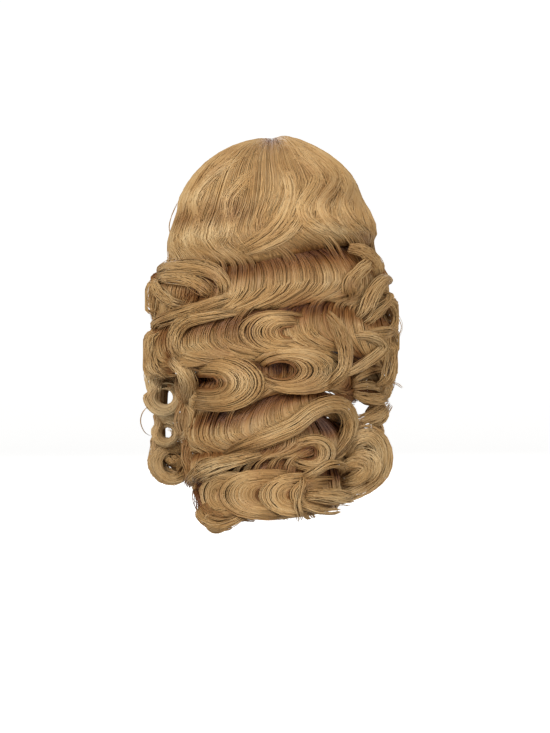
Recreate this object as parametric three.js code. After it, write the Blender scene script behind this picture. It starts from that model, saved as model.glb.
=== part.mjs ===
// A shoulder-length finger wave wig: a close cap that carries the combed crown hair, six tiers of
// ridged waves that overlap like shingles, and rolled curls at the sides and the hem.
// Millimetres, +Z up. The face opening looks to -Y, the back of the head to +Y, and the wearer's
// left is +X. The origin is inside the cap, where it rests on the top of the head.
import * as THREE from "three";

const { clamp, degToRad, lerp, smoothstep } = THREE.MathUtils;

// The head that the cap fits.
const HEAD_HALF_WIDTH = 77;
const HEAD_HALF_LENGTH = 96;
const HEAD_CROWN_HEIGHT = 80; // from the widest level up to the top of the head
const HEAD_NAPE_REACH = 140; // from the widest level down to where the skull's oval would close
const CAP_WALL = 1.5;

// The clear space that the hanging hair leaves round the neck.
const NECK_HALF_WIDTH = 70;
const NECK_BACK = 66;
const NECK_FRONT = 76;

// The crown hair, measured from the origin.
const CROWN_TOP = 16;
const CROWN_HALF_WIDTH = 97;
const CROWN_BACK = 119;
const CROWN_FRONT = 108;
const PART_DEPTH = 4;
const PART_HALF_WIDTH = 6;
const PART_END = 34; // how far behind the top of the head the parting closes
const VALLEY_DEPTH = 4;
const VALLEY_HALF_HEIGHT = 11;
const PUFF_HEIGHT = 3; // the right side of the parting stands higher
const PUFF_CENTRE = -16;
const PUFF_HALF_WIDTH = 20;

// How one tier lies under the lip of the tier above it.
const LIP_LIFT = 7; // a tier's root lies this far above the lip that hides it
const LIP_TUCK = 11; // and this far inside that lip
const LIP_TUCK_MOST = 0.8; // but no more than this share of the hair's thickness
const LIP_DROP = 4; // the lip turns in this far below the crest of its wave
const CREST_SHARE = 0.78; // where the crest lies between root and lip
const RISE_POWER = 1.2;
const SEAT_GAP = 1.3; // hair to cap
const TIER_GAP = 0.8; // tier to tier

// The locks that a tier's or the crown's hair parts into.
const LOCK_RELIEF = 3; // from the back of a lock to the furrow beside it
const LOCK_SWEEP_DEG = 9; // a lock bows this far to one side on its way down
const END_ROUND_DEG = 26; // a tier rounds off over this much of its span at each end
const END_THIN = 0.25; // down to this share of its thickness
const CROWN_TURN = 5; // the crown's edge turns in
const CROWN_TURN_HEIGHT = 16;

// How a rolled lock hangs and narrows.
const LEAD_LEAN = 9; // its root leans in this far towards the middle of the roll
const LEAD_LEAN_MOST = 0.5; // but no more than this share of its lead
const TIP_SHARE = 0.45; // its tip's width and thickness against its own

// Mesh fineness.
const CROWN_COLUMNS = 72;
const CROWN_ROWS = 10;
const CROWN_LINING_ROWS = 6;
const CAP_COLUMNS = 32;
const CAP_ROWS = 6;
const TIER_COLUMN_DEG = 4;
const COLUMNS_PER_LOCK = 4;
const TIER_STEPS = [0, 0.12, 0.28, 0.46, 0.63, 0.78, 0.91, 1];
const LINING_STEPS = 3;
const CURL_SIDES = 6;
const CURL_STEPS_PER_TURN = 13;
const LEAD_STEPS = [1, 0.75, 0.5, 0.25]; // shares of the lead, from the root down

const HAIR = new THREE.Color(0xb8945f);
const CAP_NET = new THREE.Color(0xa88a62);

// Heights by azimuth, every 30 degrees: 0 is the back, +90 the wearer's left, 180 the face.
const CAP_RIM = [-160, -158, -148, -120, -116, -74, -50]; // 0 to 180, both sides alike
const CROWN_VALLEY = [-30, -34, -38, -40, -42, -48, -56, -62, -62, -60, -50, -36, -30]; // -180 to 180
const CROWN_LIP = [-56, -70, -91, -92, -91, -89, -98, -106, -107, -108, -100, -76, -56]; // -180 to 180

// Each tier's outline at its crest, the side that its locks bow to, the azimuths it spans, and the
// height of its lip every 30 degrees from -120 to 120.
const TIERS = [
  {
    name: "wave_tier_1",
    sweep: -1,
    outline: { left: 115, right: 110, back: 119, front: 106 },
    span: [-120, 120],
    lip: [-150, -160, -151, -140, -146, -153, -160, -167, -158],
  },
  {
    name: "wave_tier_2",
    sweep: 1,
    outline: { left: 117, right: 117, back: 118, front: 106 },
    span: [-116, 116],
    lip: [-200, -205, -200, -187, -193, -197, -208, -212, -206],
  },
  {
    name: "wave_tier_3",
    sweep: -1,
    outline: { left: 86, right: 86, back: 118, front: 106 },
    span: [-76, 80],
    lip: [-243, -243, -234, -220, -228, -242, -245, -252, -252],
  },
  {
    name: "wave_tier_4",
    sweep: 1,
    outline: { left: 84, right: 82, back: 117, front: 106 },
    span: [-72, 80],
    lip: [-264, -264, -257, -246, -268, -280, -283, -288, -288],
  },
  {
    name: "wave_tier_5",
    sweep: -1,
    outline: { left: 83, right: 83, back: 118, front: 106 },
    span: [-68, 76],
    lip: [-292, -292, -292, -288, -287, -297, -309, -312, -312],
  },
  {
    name: "wave_tier_6",
    sweep: 1,
    outline: { left: 82, right: 82, back: 117, front: 106 },
    span: [-58, 72],
    lip: [-334, -334, -334, -340, -343, -342, -328, -322, -322],
  },
];

// Deep hollows inside the waves of the back, by place and half-size.
const WAVE_HOLLOWS = [
  { x: 62, z: -216, halfWidth: 15, halfHeight: 8, depth: 9 },
  { x: -10, z: -206, halfWidth: 13, halfHeight: 7, depth: 10 },
  { x: 97, z: -192, halfWidth: 7, halfHeight: 20, depth: 9 },
  { x: 74, z: -140, halfWidth: 18, halfHeight: 9, depth: 7 },
];

// Locks that hang from under a lip and roll up into an open ring. Facing is the azimuth that the
// ring's axle points to, start the angle round the ring at which the hanging part ends, lead the
// length of that part, and a negative turn runs clockwise in the plane of +X and +Z.
const ROLLED_CURLS = [
  {
    name: "ring_curl_left_1",
    place: { x: 102, y: 10.3, z: -232 },
    roll: { facing: 0, start: 0, turns: -0.72, radius: 21, tip: 11 },
    lock: { lead: 19.5, wide: 22, thick: 13 },
  },
  {
    name: "ring_curl_left_2",
    place: { x: 101, y: -10.3, z: -267 },
    roll: { facing: 0, start: 0, turns: -0.72, radius: 15.5, tip: 8 },
    lock: { lead: 54, wide: 19, thick: 9.5 },
  },
  {
    name: "ring_curl_left_3",
    place: { x: 97, y: -32.6, z: -297 },
    roll: { facing: 0, start: 0, turns: -0.72, radius: 23.5, tip: 12 },
    lock: { lead: 86.7, wide: 25, thick: 14 },
  },
  {
    name: "ring_curl_right_1",
    place: { x: -95, y: 10.5, z: -221.7 },
    roll: { facing: 0, start: 180, turns: 0.72, radius: 21, tip: 11 },
    lock: { lead: 19.6, wide: 22, thick: 13 },
  },
  {
    name: "ring_curl_right_2",
    place: { x: -100, y: -10.2, z: -248.4 },
    roll: { facing: 0, start: 180, turns: 0.72, radius: 13, tip: 7 },
    lock: { lead: 44.5, wide: 19, thick: 8 },
  },
  {
    name: "ring_curl_right_3",
    place: { x: -91, y: -32.8, z: -286 },
    roll: { facing: 0, start: 180, turns: 0.72, radius: 20.5, tip: 10.5 },
    lock: { lead: 82.9, wide: 25, thick: 12.5 },
  },
  {
    name: "roll_right",
    place: { x: -86.4, y: 45.75, z: -292 },
    roll: { facing: -36, start: 120, turns: 0.78, radius: 33, tip: 14 },
    lock: { lead: 6, wide: 30, thick: 20 },
  },
  {
    name: "hem_curl",
    place: { x: 50, y: 86, z: -346.3 },
    roll: { facing: 24, start: 40, turns: -0.75, radius: 13, tip: 6.5 },
    lock: { lead: 4, wide: 22, thick: 8 },
  },
];

// A smooth function of azimuth in degrees through values at equal steps.
function byAzimuth(first, last, values) {
  const points = values.map((value, i) => new THREE.Vector2(i, value));
  const curve = new THREE.SplineCurve(points);
  return (azimuth) => curve.getPoint(clamp((azimuth - first) / (last - first), 0, 1)).y;
}

const capRim = byAzimuth(0, 180, CAP_RIM);
const crownValley = byAzimuth(-180, 180, CROWN_VALLEY);
const crownLip = byAzimuth(-180, 180, CROWN_LIP);

// A point of an oval plan that has its own reach to each of the four sides.
function planPoint(azimuth, outline, height) {
  const across = Math.sin(degToRad(azimuth));
  const along = Math.cos(degToRad(azimuth));
  const x = across * (across > 0 ? outline.left : outline.right);
  const y = along * (along > 0 ? outline.back : outline.front);
  return new THREE.Vector3(x, y, height);
}

// The azimuth at which a point lies when it is read against an oval plan.
function azimuthOf(point, outline) {
  const across = point.x / (point.x > 0 ? outline.left : outline.right);
  const along = point.y / (point.y > 0 ? outline.back : outline.front);
  return THREE.MathUtils.radToDeg(Math.atan2(across, along));
}

function grown(outline, amount) {
  return {
    left: outline.left + amount,
    right: outline.right + amount,
    back: outline.back + amount,
    front: outline.front + amount,
  };
}

function blended(from, to, share) {
  return {
    left: lerp(from.left, to.left, share),
    right: lerp(from.right, to.right, share),
    back: lerp(from.back, to.back, share),
    front: lerp(from.front, to.front, share),
  };
}

function narrower(one, other) {
  return {
    left: Math.min(one.left, other.left),
    right: Math.min(one.right, other.right),
    back: Math.min(one.back, other.back),
    front: Math.min(one.front, other.front),
  };
}

// The skull's outline at a height, offset outwards: one half oval above the widest level and a
// longer one below it.
function skullOutline(height, offset) {
  const above = height + HEAD_CROWN_HEIGHT;
  const reach = (above > 0 ? HEAD_CROWN_HEIGHT : HEAD_NAPE_REACH) + offset;
  const share = Math.sqrt(Math.max(0, 1 - (above / reach) ** 2));
  const halfWidth = (HEAD_HALF_WIDTH + offset) * share;
  const halfLength = (HEAD_HALF_LENGTH + offset) * share;
  return { left: halfWidth, right: halfWidth, back: halfLength, front: halfLength };
}

// The inside of the hair: close over the cap, then straight down round the neck.
function liningPoint(azimuth, height) {
  const skull = skullOutline(height, CAP_WALL + SEAT_GAP);
  const outline = {
    left: Math.max(skull.left, NECK_HALF_WIDTH),
    right: Math.max(skull.right, NECK_HALF_WIDTH),
    back: Math.max(skull.back, NECK_BACK),
    front: Math.max(skull.front, NECK_FRONT),
  };
  return planPoint(azimuth, outline, height);
}

// Heights from a dome's top to its edge, close together where the dome is flat.
function domeHeights(top, edge, rows) {
  return Array.from({ length: rows }, (_, i) => {
    const share = (i + 1) / rows;
    return top - (top - edge) * (1 - Math.cos((share * Math.PI) / 2));
  });
}

// A closed solid through equal loops of points. A wrapped loft runs right round, and each of its
// loops then starts and ends on the axis. An open loft gets a flat cap at each end.
function loft(loops, { wrapped }) {
  const size = loops[0].length;
  const positions = loops.flat().flatMap((p) => [p.x, p.y, p.z]);
  const index = [];
  const at = (loop, i) => (loop % loops.length) * size + (i % size);
  const seams = wrapped ? loops.length : loops.length - 1;
  const sides = wrapped ? size - 1 : size;
  for (let loop = 0; loop < seams; loop++) {
    for (let i = 0; i < sides; i++) {
      const [a, b] = [at(loop, i), at(loop, i + 1)];
      const [c, d] = [at(loop + 1, i + 1), at(loop + 1, i)];
      index.push(a, b, c, a, c, d);
    }
  }
  if (!wrapped) {
    const last = loops.length - 1;
    for (const [a, b, c] of capTriangles(loops[0])) index.push(at(0, c), at(0, b), at(0, a));
    for (const [a, b, c] of capTriangles(loops[last])) index.push(at(last, a), at(last, b), at(last, c));
  }
  return outwards(positions, index);
}

// The triangles of a flat loop, worked out in the loop's own plane.
function capTriangles(loop) {
  const normal = new THREE.Vector3();
  loop.forEach((p, i) => normal.add(p.clone().cross(loop[(i + 1) % loop.length])));
  const turn = new THREE.Quaternion().setFromUnitVectors(normal.normalize(), new THREE.Vector3(0, 0, 1));
  const flat = loop.map((p) => p.clone().applyQuaternion(turn)).map((p) => new THREE.Vector2(p.x, p.y));
  return THREE.ShapeUtils.triangulateShape(flat, []);
}

// A geometry whose faces point out, whichever way its loops ran.
function outwards(positions, index) {
  const point = (i) => new THREE.Vector3().fromArray(positions, 3 * i);
  let volume = 0;
  for (let i = 0; i < index.length; i += 3) {
    volume += point(index[i]).dot(point(index[i + 1]).cross(point(index[i + 2])));
  }
  const faces = volume < 0 ? index.reverse() : index;
  const geometry = new THREE.BufferGeometry();
  geometry.setAttribute("position", new THREE.Float32BufferAttribute(positions, 3));
  geometry.setIndex(faces);
  geometry.computeVertexNormals();
  return geometry;
}

// The wig cap: the skull's own shape with an even wall, cut to the hairline.
function capGeometry() {
  const loops = Array.from({ length: CAP_COLUMNS }, (_, column) => {
    const azimuth = (column / CAP_COLUMNS) * 360 - 180;
    const rim = capRim(Math.abs(azimuth));
    const wall = (offset) =>
      domeHeights(offset, rim, CAP_ROWS).map((z) => planPoint(azimuth, skullOutline(z, offset), z));
    const apex = (offset) => new THREE.Vector3(0, 0, offset);
    return [apex(CAP_WALL), ...wall(CAP_WALL), ...wall(0).reverse(), apex(0)];
  });
  return loft(loops, { wrapped: true });
}

// How far a column of the mesh lies below the back of its lock.
function furrowDepth(column) {
  return LOCK_RELIEF * (1 - Math.abs(Math.sin((column / COLUMNS_PER_LOCK) * Math.PI)));
}

// The combed crown: an oval dome with the parting, a higher right side and one soft wave.
function crownOuterPoint(azimuth, height, pressed) {
  const above = Math.max(0, height + HEAD_CROWN_HEIGHT) / (CROWN_TOP + HEAD_CROWN_HEIGHT);
  const share = Math.sqrt(Math.max(0, 1 - above ** 2));
  const rest = (height - crownValley(azimuth)) / VALLEY_HALF_HEIGHT;
  const edge = clamp((crownLip(azimuth) + CROWN_TURN_HEIGHT - height) / CROWN_TURN_HEIGHT, 0, 1);
  const dent = (VALLEY_DEPTH * Math.exp(-(rest ** 2)) + pressed) * share + CROWN_TURN * edge ** 2;
  const outline = {
    left: CROWN_HALF_WIDTH * share - dent,
    right: CROWN_HALF_WIDTH * share - dent,
    back: CROWN_BACK * share - dent,
    front: CROWN_FRONT * share - dent,
  };
  const point = planPoint(azimuth, outline, height);
  const parting = Math.exp(-((point.x / PART_HALF_WIDTH) ** 2)) * (1 - smoothstep(point.y, 0, PART_END));
  const puff = Math.exp(-(((point.x - PUFF_CENTRE) / PUFF_HALF_WIDTH) ** 2));
  point.z += above * (PUFF_HEIGHT * puff - PART_DEPTH * parting);
  return point;
}

const CROWN_EDGE = grown(
  { left: CROWN_HALF_WIDTH, right: CROWN_HALF_WIDTH, back: CROWN_BACK, front: CROWN_FRONT },
  -CROWN_TURN,
);

function crownGeometry() {
  const lining = CAP_WALL + SEAT_GAP;
  const loops = Array.from({ length: CROWN_COLUMNS }, (_, column) => {
    const azimuth = (column / CROWN_COLUMNS) * 360 - 180;
    const lip = crownLip(azimuth);
    const backward = (1 + Math.cos(degToRad(azimuth))) / 2;
    const outer = domeHeights(CROWN_TOP, lip, CROWN_ROWS).map((z, row) => {
      const sweep = LOCK_SWEEP_DEG * backward * Math.sin(((row + 1) / CROWN_ROWS) * Math.PI);
      const pressed = furrowDepth(column) * (row + 1 < CROWN_ROWS ? 1 : 0.5);
      return crownOuterPoint(azimuth - sweep, z, pressed);
    });
    const inner = domeHeights(lining, lip + LIP_LIFT, CROWN_LINING_ROWS).map((z) =>
      planPoint(azimuth, skullOutline(z, lining), z),
    );
    const edge = crownOuterPoint(azimuth, lip + LIP_LIFT, 0);
    const innermost = inner[inner.length - 1];
    const tuck = Math.min(LIP_TUCK / edge.distanceTo(innermost), LIP_TUCK_MOST);
    const root = edge.clone().lerp(innermost, tuck);
    const top = crownOuterPoint(azimuth, CROWN_TOP, 0);
    return [top, ...outer, root, ...inner.reverse(), new THREE.Vector3(0, 0, lining)];
  });
  return loft(loops, { wrapped: true });
}

// How far the hair is pressed in where a hollow of the waves lies.
function hollowDepth(point) {
  if (point.y < 0) return 0;
  return WAVE_HOLLOWS.reduce((sum, hollow) => {
    const across = (point.x - hollow.x) / hollow.halfWidth;
    const up = (point.z - hollow.z) / hollow.halfHeight;
    return sum + hollow.depth * Math.exp(-(across ** 2) - up ** 2);
  }, 0);
}

// One tier: its hair leaves the root under the lip above, swells to the crest of the wave and turns
// in at its own lip, which hides the root of the tier below.
function tierGeometry(tier, upper) {
  const lip = byAzimuth(-120, 120, tier.lip);
  const [first, last] = tier.span;
  const columns = Math.round((last - first) / TIER_COLUMN_DEG);
  const rootOutline = grown(narrower(upper.outline, tier.outline), -LIP_TUCK);
  const loops = Array.from({ length: columns + 1 }, (_, column) => {
    const azimuth = lerp(first, last, column / columns);
    const inFromEnd = Math.min(1, Math.min(azimuth - first, last - azimuth) / END_ROUND_DEG);
    const rounding = Math.sqrt(1 - (1 - inFromEnd) ** 2);
    const thickness = lerp(END_THIN, 1, rounding);
    const thinned = (point, at) => liningPoint(at, point.z).lerp(point, thickness);
    const ends = [planPoint(azimuth, rootOutline, 0), liningPoint(azimuth, upper.lip(azimuth))];
    const lipsAbove = ends.map((end) => upper.lip(azimuthOf(end, upper.outline)));
    const top = Math.min(upper.lip(azimuth), ...lipsAbove) + LIP_LIFT - TIER_GAP;
    const bottom = lip(azimuth);
    const outer = TIER_STEPS.map((step) => {
      const bow = Math.sin(step * Math.PI) ** 2;
      const swept = azimuth + tier.sweep * LOCK_SWEEP_DEG * bow * inFromEnd;
      const rise = Math.sin((Math.min(step / CREST_SHARE, 1) * Math.PI) / 2) ** RISE_POWER;
      const turnIn = LIP_DROP * (Math.max(0, step - CREST_SHARE) / (1 - CREST_SHARE)) ** 2;
      const pressed = turnIn + furrowDepth(column) * Math.min(1, 2 * step);
      const outline = grown(blended(rootOutline, tier.outline, rise), -pressed);
      const height = lerp(top, bottom, step);
      const hollow = hollowDepth(planPoint(swept, outline, height));
      return thinned(planPoint(swept, grown(outline, -hollow), height), swept);
    });
    const root = thinned(planPoint(azimuth, grown(tier.outline, -LIP_TUCK), bottom + LIP_LIFT), azimuth);
    const inner = Array.from({ length: LINING_STEPS }, (_, i) =>
      liningPoint(azimuth, lerp(bottom + LIP_LIFT, top, i / (LINING_STEPS - 1))),
    );
    return [...outer, root, ...inner];
  });
  return { geometry: loft(loops, { wrapped: false }), lip };
}

// A lock's closed body: an oval section carried along frames, narrowing towards the tip.
function lockGeometry(frames) {
  const loops = frames.map(({ centre, first, second }) =>
    Array.from({ length: CURL_SIDES }, (_, i) => {
      const angle = ((i + 0.5) / CURL_SIDES) * 2 * Math.PI;
      return centre
        .clone()
        .addScaledVector(first, Math.cos(angle))
        .addScaledVector(second, Math.sin(angle));
    }),
  );
  return loft(loops, { wrapped: false });
}

// A lock that hangs for its lead, leaning in towards its root, and then rolls up.
function rolledCurlGeometry({ place, roll, lock }) {
  const facing = degToRad(roll.facing);
  const axis = new THREE.Vector3(Math.sin(facing), Math.cos(facing), 0);
  const sideways = new THREE.Vector3(Math.cos(facing), -Math.sin(facing), 0);
  const up = new THREE.Vector3(0, 0, 1);
  const centre = new THREE.Vector3(place.x, place.y, place.z);
  const round = (angle) =>
    sideways.clone().multiplyScalar(Math.cos(angle)).addScaledVector(up, Math.sin(angle));
  const start = degToRad(roll.start);
  const onset = roll.radius - lock.thick / 2;
  const lean = Math.min(LEAD_LEAN, LEAD_LEAN_MOST * lock.lead);
  const back = round(start - Math.sign(roll.turns) * (Math.PI / 2));
  const frame = (angle, distance, hang, taper) => ({
    centre: centre
      .clone()
      .addScaledVector(round(angle), distance - lean * hang ** 2)
      .addScaledVector(back, lock.lead * hang),
    first: round(angle).multiplyScalar((lock.thick / 2) * taper),
    second: axis.clone().multiplyScalar((lock.wide / 2) * taper),
  });
  const hanging = LEAD_STEPS.map((hang) => frame(start, onset, hang, 1));
  const steps = Math.ceil(Math.abs(roll.turns) * CURL_STEPS_PER_TURN);
  const rolling = Array.from({ length: steps + 1 }, (_, i) => {
    const share = i / steps;
    const angle = start + share * roll.turns * 2 * Math.PI;
    return frame(angle, lerp(onset, roll.tip, share), 0, lerp(1, TIP_SHARE, share));
  });
  return lockGeometry([...hanging, ...rolling]);
}

const hairMaterial = new THREE.MeshStandardMaterial({ color: HAIR, roughness: 0.45, metalness: 0 });
const netMaterial = new THREE.MeshStandardMaterial({ color: CAP_NET, roughness: 0.9, metalness: 0 });

const wig = new THREE.Group();

function addPiece(name, geometry, material) {
  const mesh = new THREE.Mesh(geometry, material);
  mesh.name = name;
  wig.add(mesh);
}

addPiece("wig_cap", capGeometry(), netMaterial);
addPiece("crown_hair", crownGeometry(), hairMaterial);

let upper = { outline: CROWN_EDGE, lip: crownLip };
for (const tier of TIERS) {
  const { geometry, lip } = tierGeometry(tier, upper);
  addPiece(tier.name, geometry, hairMaterial);
  upper = { outline: tier.outline, lip };
}
for (const curl of ROLLED_CURLS) addPiece(curl.name, rolledCurlGeometry(curl), hairMaterial);

export default wig;
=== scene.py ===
"""Looks of a shoulder-length finger wave wig: combed crown, six tiers of waves and rolled curls.

Lengths are millimetres in the part's own frame and become metres when a mesh is made. The back of
the wig looks to +Y, the wearer's left is +X, and an azimuth of 0 degrees is the back.
"""

import logging
import math
from dataclasses import dataclass, field
from enum import Enum
from typing import Callable

import bpy
import numpy as np
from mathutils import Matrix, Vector


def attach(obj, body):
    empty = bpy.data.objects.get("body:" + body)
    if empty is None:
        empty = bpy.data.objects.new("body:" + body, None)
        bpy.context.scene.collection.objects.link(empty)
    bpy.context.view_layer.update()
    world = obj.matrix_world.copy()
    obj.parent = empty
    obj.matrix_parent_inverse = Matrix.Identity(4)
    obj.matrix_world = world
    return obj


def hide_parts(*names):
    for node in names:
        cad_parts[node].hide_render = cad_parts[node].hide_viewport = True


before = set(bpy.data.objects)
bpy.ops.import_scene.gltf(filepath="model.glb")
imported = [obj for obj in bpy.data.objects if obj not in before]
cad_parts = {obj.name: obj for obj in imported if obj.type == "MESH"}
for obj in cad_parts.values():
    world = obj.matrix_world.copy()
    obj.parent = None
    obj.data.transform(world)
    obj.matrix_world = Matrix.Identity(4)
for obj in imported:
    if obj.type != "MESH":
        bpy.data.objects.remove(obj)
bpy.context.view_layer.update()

log = logging.getLogger("wig")

Array = np.ndarray
Rng = np.random.Generator
Material = bpy.types.Material
Pair = tuple[float, float]
Triple = tuple[float, float, float]
MM = 0.001
LEVEL = np.array([1.0, 1.0, 0.0])  # takes the height out of a point
WHITE = (1.0, 1.0, 1.0, 1.0)
TINY = 1e-9  # the shortest length that a vector is divided by
NEAR_SIDE = 0.999  # an oval is read no further out than this share of its reach
SIDE_FADE = (-30.0, 40.0)  # painted shade and light of the back view fade in between these y
FLANK = 70.0  # free locks lie close on the back up to this azimuth
FLANK_TURN = 2.2  # and turn to the front by this share of what they run on beyond it


class Slot(Enum):
    """The record's material slots."""

    HAIR = "hair"
    CAP_NET = "cap_net"


# Small helpers on arrays.


def within_turn(azimuth: Array) -> Array:
    """Azimuth brought between -180 and 180 degrees."""
    return (azimuth + 180) % 360 - 180


def lerp(start: Array, end: Array, share: Array) -> Array:
    """Straight mix of two values."""
    return start + (end - start) * share


def smoothstep(value: Array, low: float, high: float) -> Array:
    """Soft step from 0 at low to 1 at high."""
    share = np.clip((value - low) / (high - low), 0, 1)
    return share * share * (3 - 2 * share)


def bump(value: Array, centre: float, half_width: float) -> Array:
    """Bell curve of height 1 round a centre."""
    return np.exp(-(((value - centre) / half_width) ** 2))


def unit(vectors: Array) -> Array:
    """Vectors scaled to length 1."""
    length = np.linalg.norm(vectors, axis=-1, keepdims=True)
    return vectors / np.maximum(length, TINY)


def spline(knots: Array, place: Array) -> Array:
    """Uniform Catmull-Rom spline with clamped ends.

    Args:
        knots: The values to pass through, along the first axis.
        place: Where to read it, from 0 at the first knot to 1 at the last.

    Returns:
        The values at the places: a cubic between two knots whose end slopes are half the
        difference of the knots on either side.
    """
    end = len(knots) - 1
    along = np.clip(place, 0, 1) * end
    first = np.minimum(along.astype(int), end - 1)
    share = along - first
    if knots.ndim > 1:
        share = share[..., None]
    before = knots[np.maximum(first - 1, 0)]
    here = knots[first]
    there = knots[first + 1]
    after = knots[np.minimum(first + 2, end)]
    slope_here = (there - before) / 2
    slope_there = (after - here) / 2
    cubic = 2 * here - 2 * there + slope_here + slope_there
    square = 3 * there - 3 * here - 2 * slope_here - slope_there
    return ((cubic * share + square) * share + slope_here) * share + here


# The forms of the part's source, as functions of whole arrays.


@dataclass(frozen=True)
class Plan:
    """An oval seen from above that has its own reach to each of the four sides."""

    left: Array
    right: Array
    back: Array
    front: Array

    def point(self, azimuth: Array, height: Array) -> Array:
        """Point of the oval: x = sin(azimuth) by left or right, y = cos(azimuth) by back or front."""
        across = np.sin(np.radians(azimuth))
        along = np.cos(np.radians(azimuth))
        x = across * np.where(across > 0, self.left, self.right)
        y = along * np.where(along > 0, self.back, self.front)
        return np.stack(np.broadcast_arrays(x, y, height), axis=-1)

    def azimuth_of(self, point: Array) -> Array:
        """Azimuth at which a point lies when it is read against the oval."""
        across = point[..., 0] / np.where(point[..., 0] > 0, self.left, self.right)
        along = point[..., 1] / np.where(point[..., 1] > 0, self.back, self.front)
        return np.degrees(np.arctan2(across, along))

    def azimuth_at(self, x: Array) -> Array:
        """Azimuth of the back half at which the oval reaches x."""
        aside = x / np.where(x > 0, self.left, self.right)
        return np.degrees(np.arcsin(np.clip(aside, -NEAR_SIDE, NEAR_SIDE)))

    def laid_on(self, across: Array, down: Array, depth: Array) -> Array:
        """Points of the back view laid on the oval's wall, a depth above it."""
        x = VIEW.x(across)
        azimuth = np.clip(self.azimuth_at(x), -FLANK, FLANK)
        flat = self.grown(depth).point(azimuth, np.zeros_like(azimuth))
        wall = self.point(azimuth, 0.0)[..., 0]
        flat[..., 0] += np.clip(x, -self.right, self.left) - wall
        flat[..., 1] -= FLANK_TURN * np.abs(x - wall)
        flat[..., 2] = VIEW.z(down, flat[..., 1])
        return flat

    @property
    def reaches(self) -> tuple[Array, ...]:
        """The reaches to the four sides, in the order of the fields."""
        return self.left, self.right, self.back, self.front

    def grown(self, amount: Array) -> "Plan":
        """The oval with every reach longer by an amount."""
        return Plan(*(reach + amount for reach in self.reaches))

    def scaled(self, share: Array) -> "Plan":
        """The oval with every reach multiplied by a share."""
        return Plan(*(reach * share for reach in self.reaches))

    def joined(self, other: "Plan", pick: Callable[[Array, Array], Array]) -> "Plan":
        """An oval whose reaches are picked from the two reaches to each side."""
        return Plan(*map(pick, self.reaches, other.reaches))

    def blended(self, other: "Plan", share: Array) -> "Plan":
        """A mix of two ovals."""
        return self.joined(other, lambda near, far: lerp(near, far, share))


@dataclass(frozen=True)
class HeightCurve:
    """A smooth height through values at equal steps of azimuth."""

    first: float
    last: float
    values: tuple[float, ...]

    def at(self, azimuth: Array) -> Array:
        """Height at an azimuth, by a spline through the values."""
        place = (np.asarray(azimuth, float) - self.first) / (self.last - self.first)
        return spline(np.asarray(self.values, float), place)


@dataclass(frozen=True)
class CapForm:
    """The form that the cap lines, and the clear shaft below it."""

    half_width: float = 77.0
    half_length: float = 96.0
    crown_height: float = 80.0
    nape_reach: float = 140.0
    cap_wall: float = 1.5
    seat_gap: float = 1.3
    shaft: Plan = Plan(70.0, 70.0, 66.0, 76.0)
    rim: HeightCurve = HeightCurve(0, 180, (-160, -158, -148, -120, -116, -74, -50))

    def outline(self, height: Array, offset: float) -> Plan:
        """Outline at a height: half an oval above the widest level and a longer one below it."""
        above = height + self.crown_height
        reach = np.where(above > 0, self.crown_height, self.nape_reach) + offset
        share = np.sqrt(np.maximum(0, 1 - (above / reach) ** 2))
        half_width = (self.half_width + offset) * share
        half_length = (self.half_length + offset) * share
        return Plan(half_width, half_width, half_length, half_length)

    def lining(self, azimuth: Array, height: Array) -> Array:
        """Inside of the hair: close over the cap, then straight down round the shaft."""
        over_cap = self.outline(height, self.cap_wall + self.seat_gap)
        return over_cap.joined(self.shaft, np.maximum).point(azimuth, height)


CAP = CapForm()


def dome_heights(top: float, edge: Array, share: Array) -> Array:
    """Heights from a dome's top to its edge, close together where the dome is flat."""
    return top - (top - edge) * (1 - np.cos(share * np.pi / 2))


@dataclass(frozen=True)
class Bells:
    """A sum of bell-shaped rises over a plane."""

    rows: tuple[tuple[float, ...], ...]  # place across and along, its half sizes and the strength

    def at(self, across: Array, along: Array) -> Array:
        """Sum at a place."""
        total = np.zeros(across.shape)
        for x, y, half_x, half_y, strength in self.rows:
            aside = ((across - x) / half_x) ** 2
            total = total + strength * np.exp(-aside - ((along - y) / half_y) ** 2)
        return total

    def over_back(self, point: Array) -> Array:
        """Sum over the back view, in its steps, fading out round the sides."""
        return self.at(*VIEW.steps(point)) * smoothstep(point[..., 1], *SIDE_FADE)


# Deep hollows inside the waves of the back, in x and z.
WAVE_HOLLOWS = Bells((
    (62, -216, 15, 8, 9), (-10, -206, 13, 7, 10), (97, -192, 7, 20, 9), (74, -140, 18, 9, 7),
))


def hollow_depth(point: Array) -> Array:
    """How far the hair of the back is pressed in at a point."""
    return np.where(point[..., 1] > 0, WAVE_HOLLOWS.at(point[..., 0], point[..., 2]), 0)


@dataclass(frozen=True)
class BackView:
    """A grid over the back view: steps to the right and down, from which free locks are laid out."""

    step: float = 0.96
    middle: float = 272.0
    crown: float = 136.0
    crown_height: float = 18.0
    sink: float = 0.0175  # the view looks down a little, so what lies further back sits higher

    def x(self, across: Array) -> Array:
        """Place to the wearer's left of a step across."""
        return (self.middle - across) * self.step

    def z(self, down: Array, y: Array) -> Array:
        """Height of a step down, for a point that lies y towards the view."""
        return self.crown_height - (down - self.crown) * self.step + self.sink * y

    def steps(self, point: Array) -> tuple[Array, Array]:
        """Steps across and down of a point."""
        across = self.middle - point[..., 0] / self.step
        level = point[..., 2] - self.sink * point[..., 1]
        return across, self.crown + (self.crown_height - level) / self.step


VIEW = BackView()


def darkness(point: Array) -> Array:
    """How deep in shade the hair lies at a point."""
    return PAINTED_SHADE_PLACES.over_back(point)


def painted_light(point: Array) -> Array:
    """Painted light: how much lighter the hair is painted at a point."""
    return PAINTED_LIGHT_PLACES.over_back(point)


# Tubes: the one kind of mesh that every piece is made of.

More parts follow.
